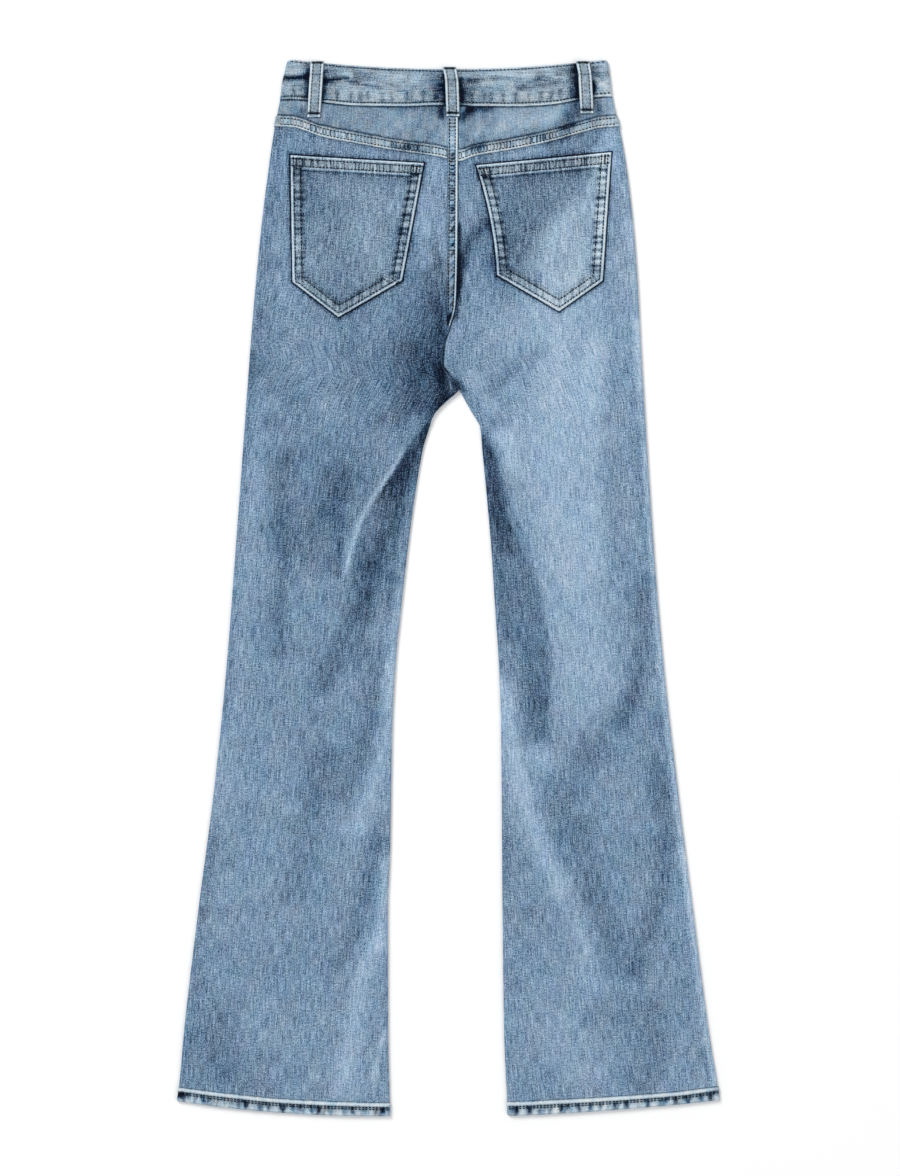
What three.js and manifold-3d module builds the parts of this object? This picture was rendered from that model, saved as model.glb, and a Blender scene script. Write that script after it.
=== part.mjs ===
// Flared jeans laid flat on a table, back side up, made of the pieces that a maker cuts and sews:
// waistband, yokes, leg panels, hems, back pockets, felled seams, belt loops and a waist button.
// Units are millimetres and +Z is up. The waist is at +Y and the hems are at -Y.
//
// Stations are measured as a tailor measures them: "down" is the distance below the highest
// point of the waistband, and x is the distance to the right of the garment's middle.
import * as THREE from "three";
import { mergeVertices } from "three/addons/utils/BufferGeometryUtils.js";
import Module from "manifold-3d";

// Driving dimensions
const LENGTH = 1079; // outseam, from the top of the waistband to the lowest point of the hems
const CLOTH = 1.2; // one layer of stretch denim
const DOUBLE = 2.4; // waistband and hems are cloth folded double
const SEAM_GAP = 0.3; // clearance between neighbouring pieces
const STEP_UP = 0.5; // how far a doubled edge stands above the single cloth beside it
const TURN = 4; // how far in from an outline edge the cloth turns down
const SIDE_SEAM_Z = 2.35; // height of the side seams above the table
const BUTT_TURN = 2; // the same turn where two panels meet flat
const BUTT_DIP = 0.6; // how far a flat seam sinks below the cloth beside it
const CORNER = 5; // corner radius of the hems and of the waistband's ends

const BACK_TOP_DIP = 10; // the back waist curves down by this much in the middle
const FRONT_TOP_DIP = 30; // the front waist is cut lower
const FRONT_TOP_SIDE = 2;
const HALF_WAIST = 162;
const BAND_HEIGHT = 38;
const FLY_X = 14; // the edge where the waistband and fly close, on the front
const BUTTON_X = 0;
const BUTTON_RADIUS = 8.5;
const BUTTON_THICK = 1.2;

const FELL_WIDTH = 11; // seat seam, double-stitched
const FELL_THICK = 0.9;
const FELL_END = 262; // the seat seam sinks out of sight here, above the crotch
const YOKE_FELL_WIDTH = 12.5;
const POCKET_HEM = 15;
const POCKET_EDGE = 10; // turned-in border round the other sides
const POCKET_RAMP = 2;
const LOOP_WIDTH = 14;
const LOOP_THICK = 1.5;
const CROTCH_DOWN = 338;

// Side edges of the garment, from waist to hem
const OUTSEAM = [
  { down: 0, left: -163, right: 161 },
  { down: 20, left: -169, right: 163.5 },
  { down: 42, left: -172.5, right: 167.5 },
  { down: 72, left: -178.5, right: 174.5 },
  { down: 113, left: -184.5, right: 181.5 },
  { down: 174, left: -192, right: 188.5 },
  { down: 235, left: -198, right: 193 },
  { down: 296, left: -203, right: 196 },
  { down: 378, left: -209, right: 201 },
  { down: 500, left: -218, right: 209 },
  { down: 623, left: -227.5, right: 219.5 },
  { down: 745, left: -240, right: 233.5 },
  { down: 868, left: -256, right: 249 },
  { down: 990, left: -270.5, right: 265 },
  { down: 1045, left: -275.5, right: 274 },
  { down: 1080, left: -281, right: 280 },
];

// Inner edges of the legs, from the crotch to the hem
const INSEAM = [
  { down: CROTCH_DOWN, left: 10.4, right: 10.4 },
  { down: 365, left: -16.3, right: 25.8 },
  { down: 375, left: -19.5, right: 31.6 },
  { down: 398, left: -26.5, right: 33.7 },
  { down: 439, left: -33.7, right: 37.7 },
  { down: 500, left: -42, right: 43 },
  { down: 562, left: -49, right: 47 },
  { down: 623, left: -55, right: 51 },
  { down: 684, left: -58, right: 53 },
  { down: 806, left: -60, right: 54 },
  { down: 868, left: -62.5, right: 54.5 },
  { down: 990, left: -62, right: 56 },
  { down: 1080, left: -60, right: 60 },
];

// Seat seam. Above the crotch the right half folds over it, and this is the fold's edge.
const SEAT_SEAM = [
  { down: 0, x: 9.8 },
  { down: 200, x: 9 },
  { down: 250, x: 7.5 },
  { down: 274, x: 1.5 },
  { down: 291, x: -4 },
  { down: 311, x: -5.5 },
  { down: 320, x: 0.7 },
  { down: CROTCH_DOWN, x: 10.4 },
];

// Seams that run across the back: the foot of the waistband and the foot of the yokes
const CROSS_SEAMS = [
  { x: -180, band: 42, yoke: 56.5 },
  { x: -160, band: 41.5, yoke: 57.5 },
  { x: -130, band: 44.5, yoke: 67 },
  { x: -90, band: 48, yoke: 74.8 },
  { x: -50, band: 48.5, yoke: 82 },
  { x: -10, band: 47.3, yoke: 87.5 },
  { x: 10, band: 47.5, yoke: 92 },
  { x: 25, band: 48.3, yoke: 87 },
  { x: 65, band: 48.7, yoke: 80 },
  { x: 105, band: 46.7, yoke: 71.5 },
  { x: 135, band: 41.5, yoke: 62.8 },
  { x: 155, band: 39, yoke: 58 },
  { x: 180, band: 37.5, yoke: 56 },
];

// Top and bottom of the hems
const HEMS = [
  { x: -280, top: 1048, bottom: 1063 },
  { x: -230, top: 1054.5, bottom: 1070 },
  { x: -170, top: 1060.5, bottom: 1075.5 },
  { x: -110, top: 1063.5, bottom: 1078.5 },
  { x: -60, top: 1064.5, bottom: 1079 },
  { x: 60, top: 1063.5, bottom: 1078.5 },
  { x: 110, top: 1061.5, bottom: 1076.5 },
  { x: 170, top: 1058, bottom: 1072.5 },
  { x: 230, top: 1053.5, bottom: 1067.5 },
  { x: 280, top: 1047, bottom: 1062 },
];

// Height of the upper side of the cloth above the table, before the folds are added
const LOFT = [
  { down: 0, z: 4.8 },
  { down: 60, z: 4.9 },
  { down: 120, z: 5.2 },
  { down: 330, z: 5.3 },
  { down: 450, z: 5.2 },
  { down: 620, z: 5 },
  { down: 820, z: 4.9 },
  { down: 1000, z: 4.8 },
  { down: 1080, z: 4.8 },
];

// Folds of the back. Each follows a path of [x, down] points. "tall" is its ridge, or its trough
// if negative, "wide" how far that spreads, "drop" the step down on its low side, and "low" which
// side that is: 1 is the left hand of someone who walks the path, -1 the right hand.
const FOLDS = [
  { name: "left_crotch", wide: 20, tall: 1.3, drop: 1.7, low: 1,
    path: [[6, 342], [-16, 364], [-46, 398], [-66, 423], [-88, 460], [-102, 491], [-111, 527]] },
  { name: "right_crotch", wide: 16, tall: 0.9, drop: 1.5, low: -1,
    path: [[31, 374], [49, 411], [61, 460], [74, 493], [84, 530], [98, 592], [98, 680]] },
  { name: "seat_hollow", wide: 22, tall: -1.5, path: [[-8, 268], [-26, 300], [-16, 344]] },
  { name: "seat_swell", wide: 20, tall: 1.1, path: [[32, 276], [24, 312], [44, 356]] },
  { name: "left_thigh_trough", wide: 15, tall: -0.9, path: [[-160, 395], [-168, 480], [-166, 590]] },
  { name: "left_thigh_groove", wide: 9, tall: -0.8, path: [[-112, 430], [-116, 520]] },
  { name: "left_inner_trough", wide: 13, tall: -0.6, path: [[-62, 470], [-82, 540], [-124, 620]] },
  { name: "left_shin_trough", wide: 12, tall: -0.7, path: [[-78, 820], [-88, 890], [-108, 930]] },
  { name: "left_shin_ridge", wide: 14, tall: 0.8, path: [[-70, 850], [-88, 960], [-112, 1035]] },
  { name: "right_inner_trough", wide: 14, tall: -0.6, path: [[52, 440], [70, 540], [88, 680]] },
  { name: "right_shin_ridge", wide: 14, tall: 0.9, path: [[64, 700], [78, 800], [118, 930]] },
  { name: "right_knee_trough", wide: 18, tall: -0.8, path: [[198, 570], [190, 690], [140, 780]] },
  { name: "right_shin_trough", wide: 18, tall: -0.7, path: [[222, 760], [216, 860], [182, 960]] },
];

// The columns of each back panel's mesh close up on this line, which follows its crotch fold.
const FOLD_LINE = {
  left: [
    { down: 50, x: -70 }, { down: 250, x: -40 }, { down: 345, x: -12 }, { down: 364, x: -25 },
    { down: 398, x: -46 }, { down: 423, x: -66 }, { down: 460, x: -88 }, { down: 491, x: -102 },
    { down: 527, x: -111 }, { down: 700, x: -122 }, { down: 1080, x: -150 },
  ],
  right: [
    { down: 50, x: 76 }, { down: 250, x: 44 }, { down: 350, x: 38 }, { down: 411, x: 50 },
    { down: 460, x: 61 }, { down: 493, x: 74 }, { down: 530, x: 84 }, { down: 592, x: 98 },
    { down: 680, x: 98 }, { down: 1080, x: 130 },
  ],
};

const POCKETS = [
  { name: "pocket_left", topLeft: [-162, 97.8], topRight: [-25.4, 106.1],
    lowLeft: [-159.9, 227.7], tip: [-112.8, 263.9], lowRight: [-47.9, 226.2], bow: 0 },
  { name: "pocket_right", topLeft: [27.3, 108.4], topRight: [165.8, 94.8],
    lowLeft: [48.8, 220.7], tip: [112.2, 258], lowRight: [156.9, 226.4], bow: 4 },
];

const LOOPS = [
  { name: "belt_loop_left", top: [-134.3, 2.2], foot: [-138, 59.5] },
  { name: "belt_loop_middle", top: [2.4, 8.2], foot: [4, 58.6] },
  { name: "belt_loop_right", top: [137.8, 2.2], foot: [140.7, 55.6] },
];

// A belt loop's height over the cloth, from its top end to its foot
const LOOP_ARCH = [
  { share: 0, lift: 0.9 }, { share: 0.08, lift: 1.5 }, { share: 0.3, lift: 2.1 },
  { share: 0.55, lift: 2.2 }, { share: 0.76, lift: 1.8 }, { share: 0.88, lift: 0.9 },
  { share: 0.94, lift: SEAM_GAP }, { share: 1, lift: SEAM_GAP },
];

const { lerp: mix, clamp, smoothstep } = THREE.MathUtils;

// A smooth function through a table's rows that never overshoots them.
function curve(rows, from, to) {
  const slopes = rows.slice(1).map((row, i) => (row[to] - rows[i][to]) / (row[from] - rows[i][from]));
  const tangents = rows.map((_, i) => {
    const before = slopes[Math.max(i - 1, 0)];
    const after = slopes[Math.min(i, slopes.length - 1)];
    return before * after <= 0 ? 0 : (2 * before * after) / (before + after);
  });
  return (value) => {
    const v = clamp(value, rows[0][from], rows.at(-1)[from]);
    const i = Math.max(rows.findIndex((row) => row[from] >= v), 1) - 1;
    const span = rows[i + 1][from] - rows[i][from];
    const t = (v - rows[i][from]) / span;
    const rise = rows[i + 1][to] - rows[i][to];
    const start = tangents[i] * span;
    const end = tangents[i + 1] * span;
    return rows[i][to] + t * (start + t * (3 * rise - 2 * start - end + t * (start + end - 2 * rise)));
  };
}

const outseam = { left: curve(OUTSEAM, "down", "left"), right: curve(OUTSEAM, "down", "right") };
const inseam = { left: curve(INSEAM, "down", "left"), right: curve(INSEAM, "down", "right") };
const seatSeam = curve(SEAT_SEAM, "down", "x");
const bandSeam = curve(CROSS_SEAMS, "x", "band");
const yokeSeam = curve(CROSS_SEAMS, "x", "yoke");
const hemTop = curve(HEMS, "x", "top");
const hemBottom = curve(HEMS, "x", "bottom");
const loft = curve(LOFT, "down", "z");
const waist = (dip, side) => (x) => side + dip * (1 - (x / HALF_WAIST) ** 2);
const backWaist = waist(BACK_TOP_DIP, 0);
const frontWaist = waist(FRONT_TOP_DIP, FRONT_TOP_SIDE);
const shift = (line, by) => (value) => line(value) + by;

// Distance along and across a fold's path from a point: side is positive on the path's left hand.
function alongPath(path, x, down) {
  let best = { gap: Infinity };
  for (let i = 0; i + 1 < path.length; i++) {
    const [ax, ad] = path[i];
    const [bx, bd] = path[i + 1];
    const length = Math.hypot(bx - ax, bd - ad);
    const share = clamp(((x - ax) * (bx - ax) + (down - ad) * (bd - ad)) / length ** 2, 0, 1);
    const dx = x - mix(ax, bx, share);
    const dd = down - mix(ad, bd, share);
    const gap = Math.hypot(dx, dd);
    if (gap < best.gap) {
      const hand = Math.sign((bd - ad) * dx - (bx - ax) * dd) || 1;
      best = { gap, side: hand * gap, share: (i + share) / (path.length - 1) };
    }
  }
  return best;
}

const STEP_WIDTH = 5; // how far across the step of a folded edge is spread
const STEP_REACH = 2.4; // the low side comes back up over this many fold widths
function foldHeight({ path, wide, tall, drop = 0, low = 1 }, x, down) {
  const { gap, side, share } = alongPath(path, x, down);
  const ends = smoothstep(share, -0.12, 0.15) * (1 - smoothstep(share, 0.7, 1));
  const ridge = tall * Math.exp(-((gap / wide) ** 2));
  const fallen = smoothstep(side * low, -STEP_WIDTH / 2, STEP_WIDTH);
  const step = drop * fallen * Math.exp(-gap / (wide * STEP_REACH));
  return ends * (ridge - step);
}

// The folds leave the stiff pieces alone: they fade in below the seat and out above the hems.
// Where several meet, their sum levels off, so that the two layers stay apart and close.
const MOST_UP = 1.3;
const MOST_DOWN = 2.2;
function clothHeight(x, down) {
  const soft = smoothstep(down, 240, 300) * (1 - smoothstep(down, 1015, 1045));
  const sum = FOLDS.reduce((total, fold) => total + foldHeight(fold, x, down), 0);
  const most = sum > 0 ? MOST_UP : MOST_DOWN;
  return loft(down) + soft * most * Math.tanh(sum / most);
}

// The two layers. A point's lift is how far it stands outside the layer's outer surface.
const back = {
  up: 1,
  seamZ: SIDE_SEAM_Z + SEAM_GAP / 2,
  flatZ: clothHeight,
  dip: BUTT_DIP,
};
const front = { up: -1, seamZ: SIDE_SEAM_Z - SEAM_GAP / 2, flatZ: () => 0, dip: 0 };

const TURN_ANGLES = [0, 30, 60].map(THREE.MathUtils.degToRad);
const turnReach = (edge, down) => mix(BUTT_TURN, TURN, edge.turn(down));
const point = (x, down, z) => new THREE.Vector3(x, LENGTH / 2 - down, z);

// Points over one edge of a piece. The edge turns under fully where edge.turn is 1, and is cut
// square where it is 0. inward is 1 on a left edge and -1 on a right one.
function edgePoints(layer, edge, x, down, inward) {
  const turn = edge.turn(down);
  const reach = turnReach(edge, down);
  return TURN_ANGLES.map((angle) => (lift) => {
    const out = lift * turn;
    const px = x + inward * (-out + (reach + out) * (1 - Math.cos(angle)));
    const flat = layer.flatZ(x + inward * reach, down);
    const seam = mix(flat - layer.up * layer.dip, layer.seamZ, turn);
    const z = seam + layer.up * lift * (1 - turn) + (flat - seam + layer.up * out) * Math.sin(angle);
    return point(px, down, z);
  });
}

// Where a side edge, given by its x at each station, crosses a line that runs across the piece.
function crossing(edge, downAt) {
  let x = edge.x(downAt(0));
  for (let i = 0; i < 12; i++) x = edge.x(downAt(x));
  return x;
}

// One piece of cloth: a closed wall between two lifts, bounded by two side edges and two lines
// across. Rows and columns are shares of the way down and across.
function clothPiece({ layer, left, right, top, bottom, rows, columns, inner, outer }) {
  const grid = rows.map((v) => {
    const downAt = (x) => mix(top(x), bottom(x), v);
    const ends = [crossing(left, downAt), crossing(right, downAt)];
    const downs = ends.map(downAt);
    const reach = [left, right].map((edge, i) => (edge.turn ? turnReach(edge, downs[i]) : 0));
    const across = columns(downAt((ends[0] + ends[1]) / 2), ends[0] + reach[0], ends[1] - reach[1]);
    const flat = across.map((x) => {
      const down = downAt(x);
      const u = (x - ends[0]) / (ends[1] - ends[0]);
      return (lift) => point(x, down, layer.flatZ(x, down) + layer.up * lift(u, v, x, down));
    });
    const turned = (edge, i, inward) => {
      if (!edge.turn) return [];
      const made = edgePoints(layer, edge, ends[i], downs[i], inward);
      return made.map((p) => (lift) => p(lift(i, v, ends[i], downs[i])));
    };
    return [...turned(left, 0, 1), ...flat, ...turned(right, 1, -1).reverse()];
  });
  const surface = (lift) => grid.map((row) => row.map((p) => p(lift)));
  return closedWall(layer.up, surface(outer), surface(inner));
}

// A closed mesh from two grids of points, the outer one facing up if up is 1.
function closedWall(up, outer, inner) {
  const rows = outer.length;
  const columns = outer[0].length;
  const positions = [...outer.flat(), ...inner.flat()].flatMap((p) => p.toArray());
  const at = (side, i, j) => side * rows * columns + i * columns + j;
  const faces = [];
  const face = (a, b, c) => faces.push(...(up > 0 ? [a, b, c] : [a, c, b]));
  const wall = (i, j, k, l) => {
    face(at(0, k, l), at(0, i, j), at(1, i, j));
    face(at(0, k, l), at(1, i, j), at(1, k, l));
  };
  for (let i = 0; i + 1 < rows; i++) {
    for (let j = 0; j + 1 < columns; j++) {
      face(at(0, i, j), at(0, i + 1, j), at(0, i, j + 1));
      face(at(0, i, j + 1), at(0, i + 1, j), at(0, i + 1, j + 1));
      face(at(1, i, j), at(1, i, j + 1), at(1, i + 1, j));
      face(at(1, i, j + 1), at(1, i + 1, j + 1), at(1, i + 1, j));
    }
    wall(i, 0, i + 1, 0);
    wall(i + 1, columns - 1, i, columns - 1);
  }
  for (let j = 0; j + 1 < columns; j++) {
    wall(0, j + 1, 0, j);
    wall(rows - 1, j, rows - 1, j + 1);
  }
  const geometry = new THREE.BufferGeometry();
  geometry.setAttribute("position", new THREE.Float32BufferAttribute(positions, 3));
  geometry.setIndex(faces);
  geometry.computeVertexNormals();
  return geometry;
}

// Ways of spacing columns and rows
const shares = (count) => Array.from({ length: count }, (_, i) => i / (count - 1));
const even = (count) => (down, from, to) => shares(count).map((share) => mix(from, to, share));
const FOLD_COLUMNS = [-14, -3.5, 3.5, 13]; // each side of a fold's line
const FOLD_ROOM = 17; // the line itself stays this far from a panel's edges
function besideFold(side) {
  const line = curve(FOLD_LINE[side], "down", "x");
  const [before, after] = side === "left" ? [6, 3] : [3, 6];
  return (down, from, to) => {
    const fold = clamp(line(down), from + 2 * FOLD_ROOM, to - FOLD_ROOM);
    const near = FOLD_COLUMNS.map((offset) => fold + offset);
    return [
      ...even(before)(down, from, near[0]),
      near[1],
      near[2],
      ...even(after)(down, near[3], to),
    ];
  };
}

// Edges. The outline turns under; the seat seam turns under only where the legs fold over it.
const whole = () => 1;
const lift = (value) => () => value;
const edgeAt = (x, turn) => ({ x, turn });
const seatTurn = (down) => smoothstep(down, FELL_END - 7, FELL_END + 30);
const frontTurn = (down) => smoothstep(down, CROTCH_DOWN - 16, CROTCH_DOWN + 6);
const frontSeam = (down) => mix(FLY_X, seatSeam(CROTCH_DOWN), clamp(down / CROTCH_DOWN, 0, 1));
const outer = { left: edgeAt(outseam.left, whole), right: edgeAt(outseam.right, whole) };

// The inner edge of a half: the middle seam down to the crotch, then the inseam
function innerEdge(side, seam, turn) {
  const away = side === "left" ? -SEAM_GAP / 2 : SEAM_GAP / 2;
  return edgeAt((down) => (down < CROTCH_DOWN ? seam(down) : inseam[side](down)) + away, turn);
}
const opposite = { left: "right", right: "left" };
const half = (side, seam, turn) => ({ ...outer, [opposite[side]]: innerEdge(side, seam, turn) });

const DENIM = { color: 0x8fa9c4, roughness: 0.92, metalness: 0 };
const SEAM_DENIM = { color: 0x9fb4c6, roughness: 0.92, metalness: 0 };
const METAL = { color: 0x8f8a80, roughness: 0.4, metalness: 0.9 };

const jeans = new THREE.Group();
function add(name, geometry, look) {
  const mesh = new THREE.Mesh(geometry, new THREE.MeshStandardMaterial(look));
  mesh.name = name;
  jeans.add(mesh);
}

// Stations of the back panels' rows, at the seat seam or inseam: close together round the crotch
const BACK_ROWS = [
  92, 112, 140, 170, 200, 228, 250, 262, 274, 283, 291, 301, 311, 320, 329, 338, 345, 352,
  358, 365, 375, 386, 398, 412, 428, 446, 466, 488, 512, 540, 575, 615, 660, 710, 770, 830,
  890, 950, 1005, 1040, 1064,
];
const FRONT_ROWS = [
  70, 130, 200, 270, 320, 338, 345, 352, 358, 365, 375, 398, 439, 500, 562, 623, 700, 800,
  900, 1000, 1064,
];
const asShares = (stations) => stations.map((s) => (s - stations[0]) / (stations.at(-1) - stations[0]));

// How much a rounded corner takes off a line at this distance from the corner's side
function roundedEnd(distance) {
  const within = CORNER - clamp(distance, 0, CORNER);
  return CORNER - Math.sqrt(CORNER ** 2 - within ** 2);
}

function backPanels() {
  for (const side of ["left", "right"]) {
    const edges = half(side, seatSeam, seatTurn);
    const cloth = {
      layer: back, ...edges, columns: besideFold(side), inner: lift(-CLOTH), outer: lift(0),
    };
    add(`yoke_${side}`, clothPiece({ ...cloth, rows: shares(3), top: shift(bandSeam, SEAM_GAP / 2),
      bottom: shift(yokeSeam, -SEAM_GAP / 2) }), DENIM);
    add(`back_leg_${side}`, clothPiece({ ...cloth, rows: asShares(BACK_ROWS),
      top: shift(yokeSeam, SEAM_GAP / 2), bottom: shift(hemTop, -SEAM_GAP / 2) }), DENIM);
    add(`hem_back_${side}`, clothPiece({ ...cloth, rows: shares(4), top: shift(hemTop, SEAM_GAP / 2),
      bottom: roundedHem(edges), inner: lift(STEP_UP - DOUBLE), outer: lift(STEP_UP) }), SEAM_DENIM);
  }
}

// The hem's lower line, with its two corners rounded
function roundedHem(edges) {
  return (x) => {
    const down = hemBottom(x);
    return down - roundedEnd(x - edges.left.x(down)) - roundedEnd(edges.right.x(down) - x);
  };
}

function frontPanels() {
  for (const side of ["left", "right"]) {
    const edges = half(side, frontSeam, frontTurn);
    const cloth = { layer: front, ...edges, columns: even(6), inner: lift(-CLOTH), outer: lift(0) };
    add(`front_leg_${side}`, clothPiece({ ...cloth, rows: asShares(FRONT_ROWS),
      top: shift(frontWaist, BAND_HEIGHT + SEAM_GAP / 2), bottom: shift(hemTop, -SEAM_GAP / 2) }), DENIM);
    add(`hem_front_${side}`, clothPiece({ ...cloth, rows: [0, 1], top: shift(hemTop, SEAM_GAP / 2),
      bottom: roundedHem(edges), inner: lift(-DOUBLE) }), SEAM_DENIM);
  }
}

function waistbandBack() {
  const top = (x) => backWaist(x) + roundedEnd(x - outseam.left(0)) + roundedEnd(outseam.right(0) - x);
  const middle = seatSeam(0);
  const columns = (down, from, to) => [
    ...besideFold("left")(down, from, middle - BUTT_TURN),
    ...besideFold("right")(down, middle + BUTT_TURN, to),
  ];
  add("waistband_back", clothPiece({ layer: back, ...outer, top, bottom: shift(bandSeam, -SEAM_GAP / 2),
    rows: shares(4), columns, inner: lift(STEP_UP - DOUBLE), outer: lift(STEP_UP) }), SEAM_DENIM);
}

// The front waistband closes with a button. Its back lies in a shallow seat, so that it comes
// flush with the cloth that the garment lies on.
const BUTTON_PROFILE = [
  { radius: 0, height: 0.35 },
  { radius: 5.2, height: 0.35 },
  { radius: 5.9, height: 0 },
  { radius: BUTTON_RADIUS - 0.6, height: 0 },
  { radius: BUTTON_RADIUS, height: 0.5 },
  { radius: BUTTON_RADIUS, height: BUTTON_THICK },
  { radius: 0, height: BUTTON_THICK },
];
const ROUND = 32;
function waistbandFront(wasm) {
  const buttonY = LENGTH / 2 - frontWaist(BUTTON_X) - BAND_HEIGHT / 2;
  for (const side of ["left", "right"]) {
    const closing = edgeAt(() => FLY_X + (side === "left" ? -SEAM_GAP : SEAM_GAP) / 2, () => 0);
    const band = clothPiece({ layer: front, ...outer, [opposite[side]]: closing,
      top: frontWaist, bottom: shift(frontWaist, BAND_HEIGHT - SEAM_GAP / 2), rows: shares(3),
      columns: even(6), inner: lift(-DOUBLE), outer: lift(0) });
    add(`waistband_front_${side}`, side === "left" ? withSeat(wasm, band, buttonY) : band, SEAM_DENIM);
  }
  const button = new THREE.LatheGeometry(
    BUTTON_PROFILE.map(({ radius, height }) => new THREE.Vector2(radius, height)), ROUND);
  add("button", button.rotateX(Math.PI / 2).translate(BUTTON_X, buttonY, 0), METAL);
}

function withSeat(wasm, band, y) {
  const radius = BUTTON_RADIUS + SEAM_GAP;
  const depth = BUTTON_THICK + SEAM_GAP;
  const seat = new THREE.CylinderGeometry(radius, radius, 2 * depth, ROUND);
  seat.rotateX(Math.PI / 2).translate(BUTTON_X, y, 0);
  return fromSolid(solid(wasm, band).subtract(solid(wasm, seat)));
}

function solid(wasm, geometry) {
  const bare = new THREE.BufferGeometry();
  bare.setAttribute("position", geometry.getAttribute("position"));
  bare.setIndex(geometry.index);
  const merged = mergeVertices(bare, 1e-3);
  return new wasm.Manifold(new wasm.Mesh({ numProp: 3, vertProperties: merged.attributes.position.array,
    triVerts: new Uint32Array(merged.index.array) }));
}

function fromSolid(made) {
  const mesh = made.getMesh();
  const geometry = new THREE.BufferGeometry();
  geometry.setAttribute("position", new THREE.BufferAttribute(mesh.vertProperties, 3));
  geometry.setIndex(new THREE.BufferAttribute(mesh.triVerts, 1));
  geometry.computeVertexNormals();
  return geometry;
}

// Felled seams are flat strips on the cloth below them.
function felledSeams() {
  const strip = { layer: back, inner: lift(SEAM_GAP), outer: lift(SEAM_GAP + FELL_THICK) };
  const fellLeft = (down) => seatSeam(down) - FELL_WIDTH;
  const [, middleLoop] = LOOPS;
  const start = middleLoop.foot[1] + 3 * SEAM_GAP;
  add("seat_seam", clothPiece({ ...strip, left: { x: fellLeft }, right: { x: shift(seatSeam, -BUTT_TURN) },
    top: () => start, bottom: () => FELL_END, rows: shares(17), columns: even(3) }), SEAM_DENIM);
  for (const side of ["left", "right"]) {
    const edges = side === "left"
      ? { left: outer.left, right: { x: shift(fellLeft, -SEAM_GAP) } }
      : { left: { x: shift(seatSeam, BUTT_TURN) }, right: outer.right };
    add(`yoke_seam_${side}`, clothPiece({ ...strip, ...edges, rows: shares(3), columns: besideFold(side),
      top: shift(yokeSeam, SEAM_GAP), bottom: shift(yokeSeam, YOKE_FELL_WIDTH) }), SEAM_DENIM);
  }
}

// A back pocket: a five-sided patch with turned-in edges and a deeper hem along its mouth
function pockets() {
  for (const { name, topLeft, topRight, lowLeft, tip, lowRight, bow } of POCKETS) {
    const line = ([ax, ad], [bx, bd]) => (x) => mix(ad, bd, (x - ax) / (bx - ax));
    const sideLine = ([ax, ad], [bx, bd], bend) => (down) => {
      const t = (down - ad) / (bd - ad);
      return mix(ax, bx, t) + bend * 4 * t * (1 - t);
    };
    const left = { x: sideLine(topLeft, lowLeft, bow) };
    const right = { x: sideLine(topRight, lowRight, 0) };
    const top = line(topLeft, topRight);
    const bottom = (x) => (x < tip[0] ? line(lowLeft, tip)(x) : line(tip, lowRight)(x));
    const columns = (down, from, to) => {
      const border = POCKET_EDGE + POCKET_RAMP;
      const peak = clamp(tip[0], from + 1.5 * border, to - 1.5 * border);
      return [from, from + POCKET_EDGE, ...even(3)(down, from + border, peak),
        ...even(3)(down, peak, to - border).slice(1), to - POCKET_EDGE, to];
    };
    const border = (u, v, x, down) => {
      const fromMouth = down - top(x) - POCKET_HEM + POCKET_EDGE;
      const rim = Math.min(x - left.x(down), right.x(down) - x, fromMouth, bottom(x) - down);
      return 1 - smoothstep(rim, POCKET_EDGE, POCKET_EDGE + POCKET_RAMP);
    };
    const deep = lowLeft[1] - topLeft[1];
    const rows = [0, POCKET_HEM, POCKET_HEM + POCKET_RAMP, 0.35 * deep, 0.6 * deep, deep - 2 * POCKET_EDGE,
      deep - POCKET_EDGE - POCKET_RAMP, deep - POCKET_EDGE, deep].map((d) => d / deep);
    add(name, clothPiece({ layer: back, left, right, top, bottom, rows, columns, inner: lift(SEAM_GAP),
      outer: (u, v, x, down) => SEAM_GAP + CLOTH + STEP_UP * border(u, v, x, down) }), DENIM);
  }
}

// Belt loops arch over the waistband from its top edge to just below its foot.
function beltLoops() {
  const arch = curve(LOOP_ARCH, "share", "lift");
  const bandLift = (down, x) => STEP_UP * (1 - smoothstep(down, bandSeam(x) - 1, bandSeam(x) + 4));
  for (const { name, top, foot } of LOOPS) {
    const middle = (down) => mix(top[0], foot[0], (down - top[1]) / (foot[1] - top[1]));
    const clear = (u, v, x, down) => arch(v) + bandLift(down, x);
    add(name, clothPiece({ layer: back, left: { x: shift(middle, -LOOP_WIDTH / 2) },
      right: { x: shift(middle, LOOP_WIDTH / 2) }, top: () => top[1], bottom: () => foot[1],
      rows: LOOP_ARCH.map((row) => row.share), columns: even(3), inner: clear,
      outer: (...at) => clear(...at) + LOOP_THICK }), SEAM_DENIM);
  }
}

const wasm = await Module();
wasm.setup();
backPanels();
frontPanels();
waistbandBack();
waistbandFront(wasm);
felledSeams();
pockets();
beltLoops();

// The origin is on the table, under the middle of the garment's outline.
const outline = new THREE.Box3().setFromObject(jeans, true);
const middle = outline.getCenter(new THREE.Vector3());
jeans.position.set(-middle.x, -middle.y, -outline.min.z);

export default jeans;
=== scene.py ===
# %% [markdown]
# # Flared jeans, laid flat
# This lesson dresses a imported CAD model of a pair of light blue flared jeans, which lie on a
# table with their back up. The solids give the size and the place of each piece. Here each piece
# is made again as a fine sheet of denim on the same lines, then sewn, creased and washed.
#
# Lengths are in millimetres until a mesh is made. A point of the garment is given as a tailor
# gives it: x is how far it is to the right of the middle, and "down" how far below the waist.

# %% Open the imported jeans
import math

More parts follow.
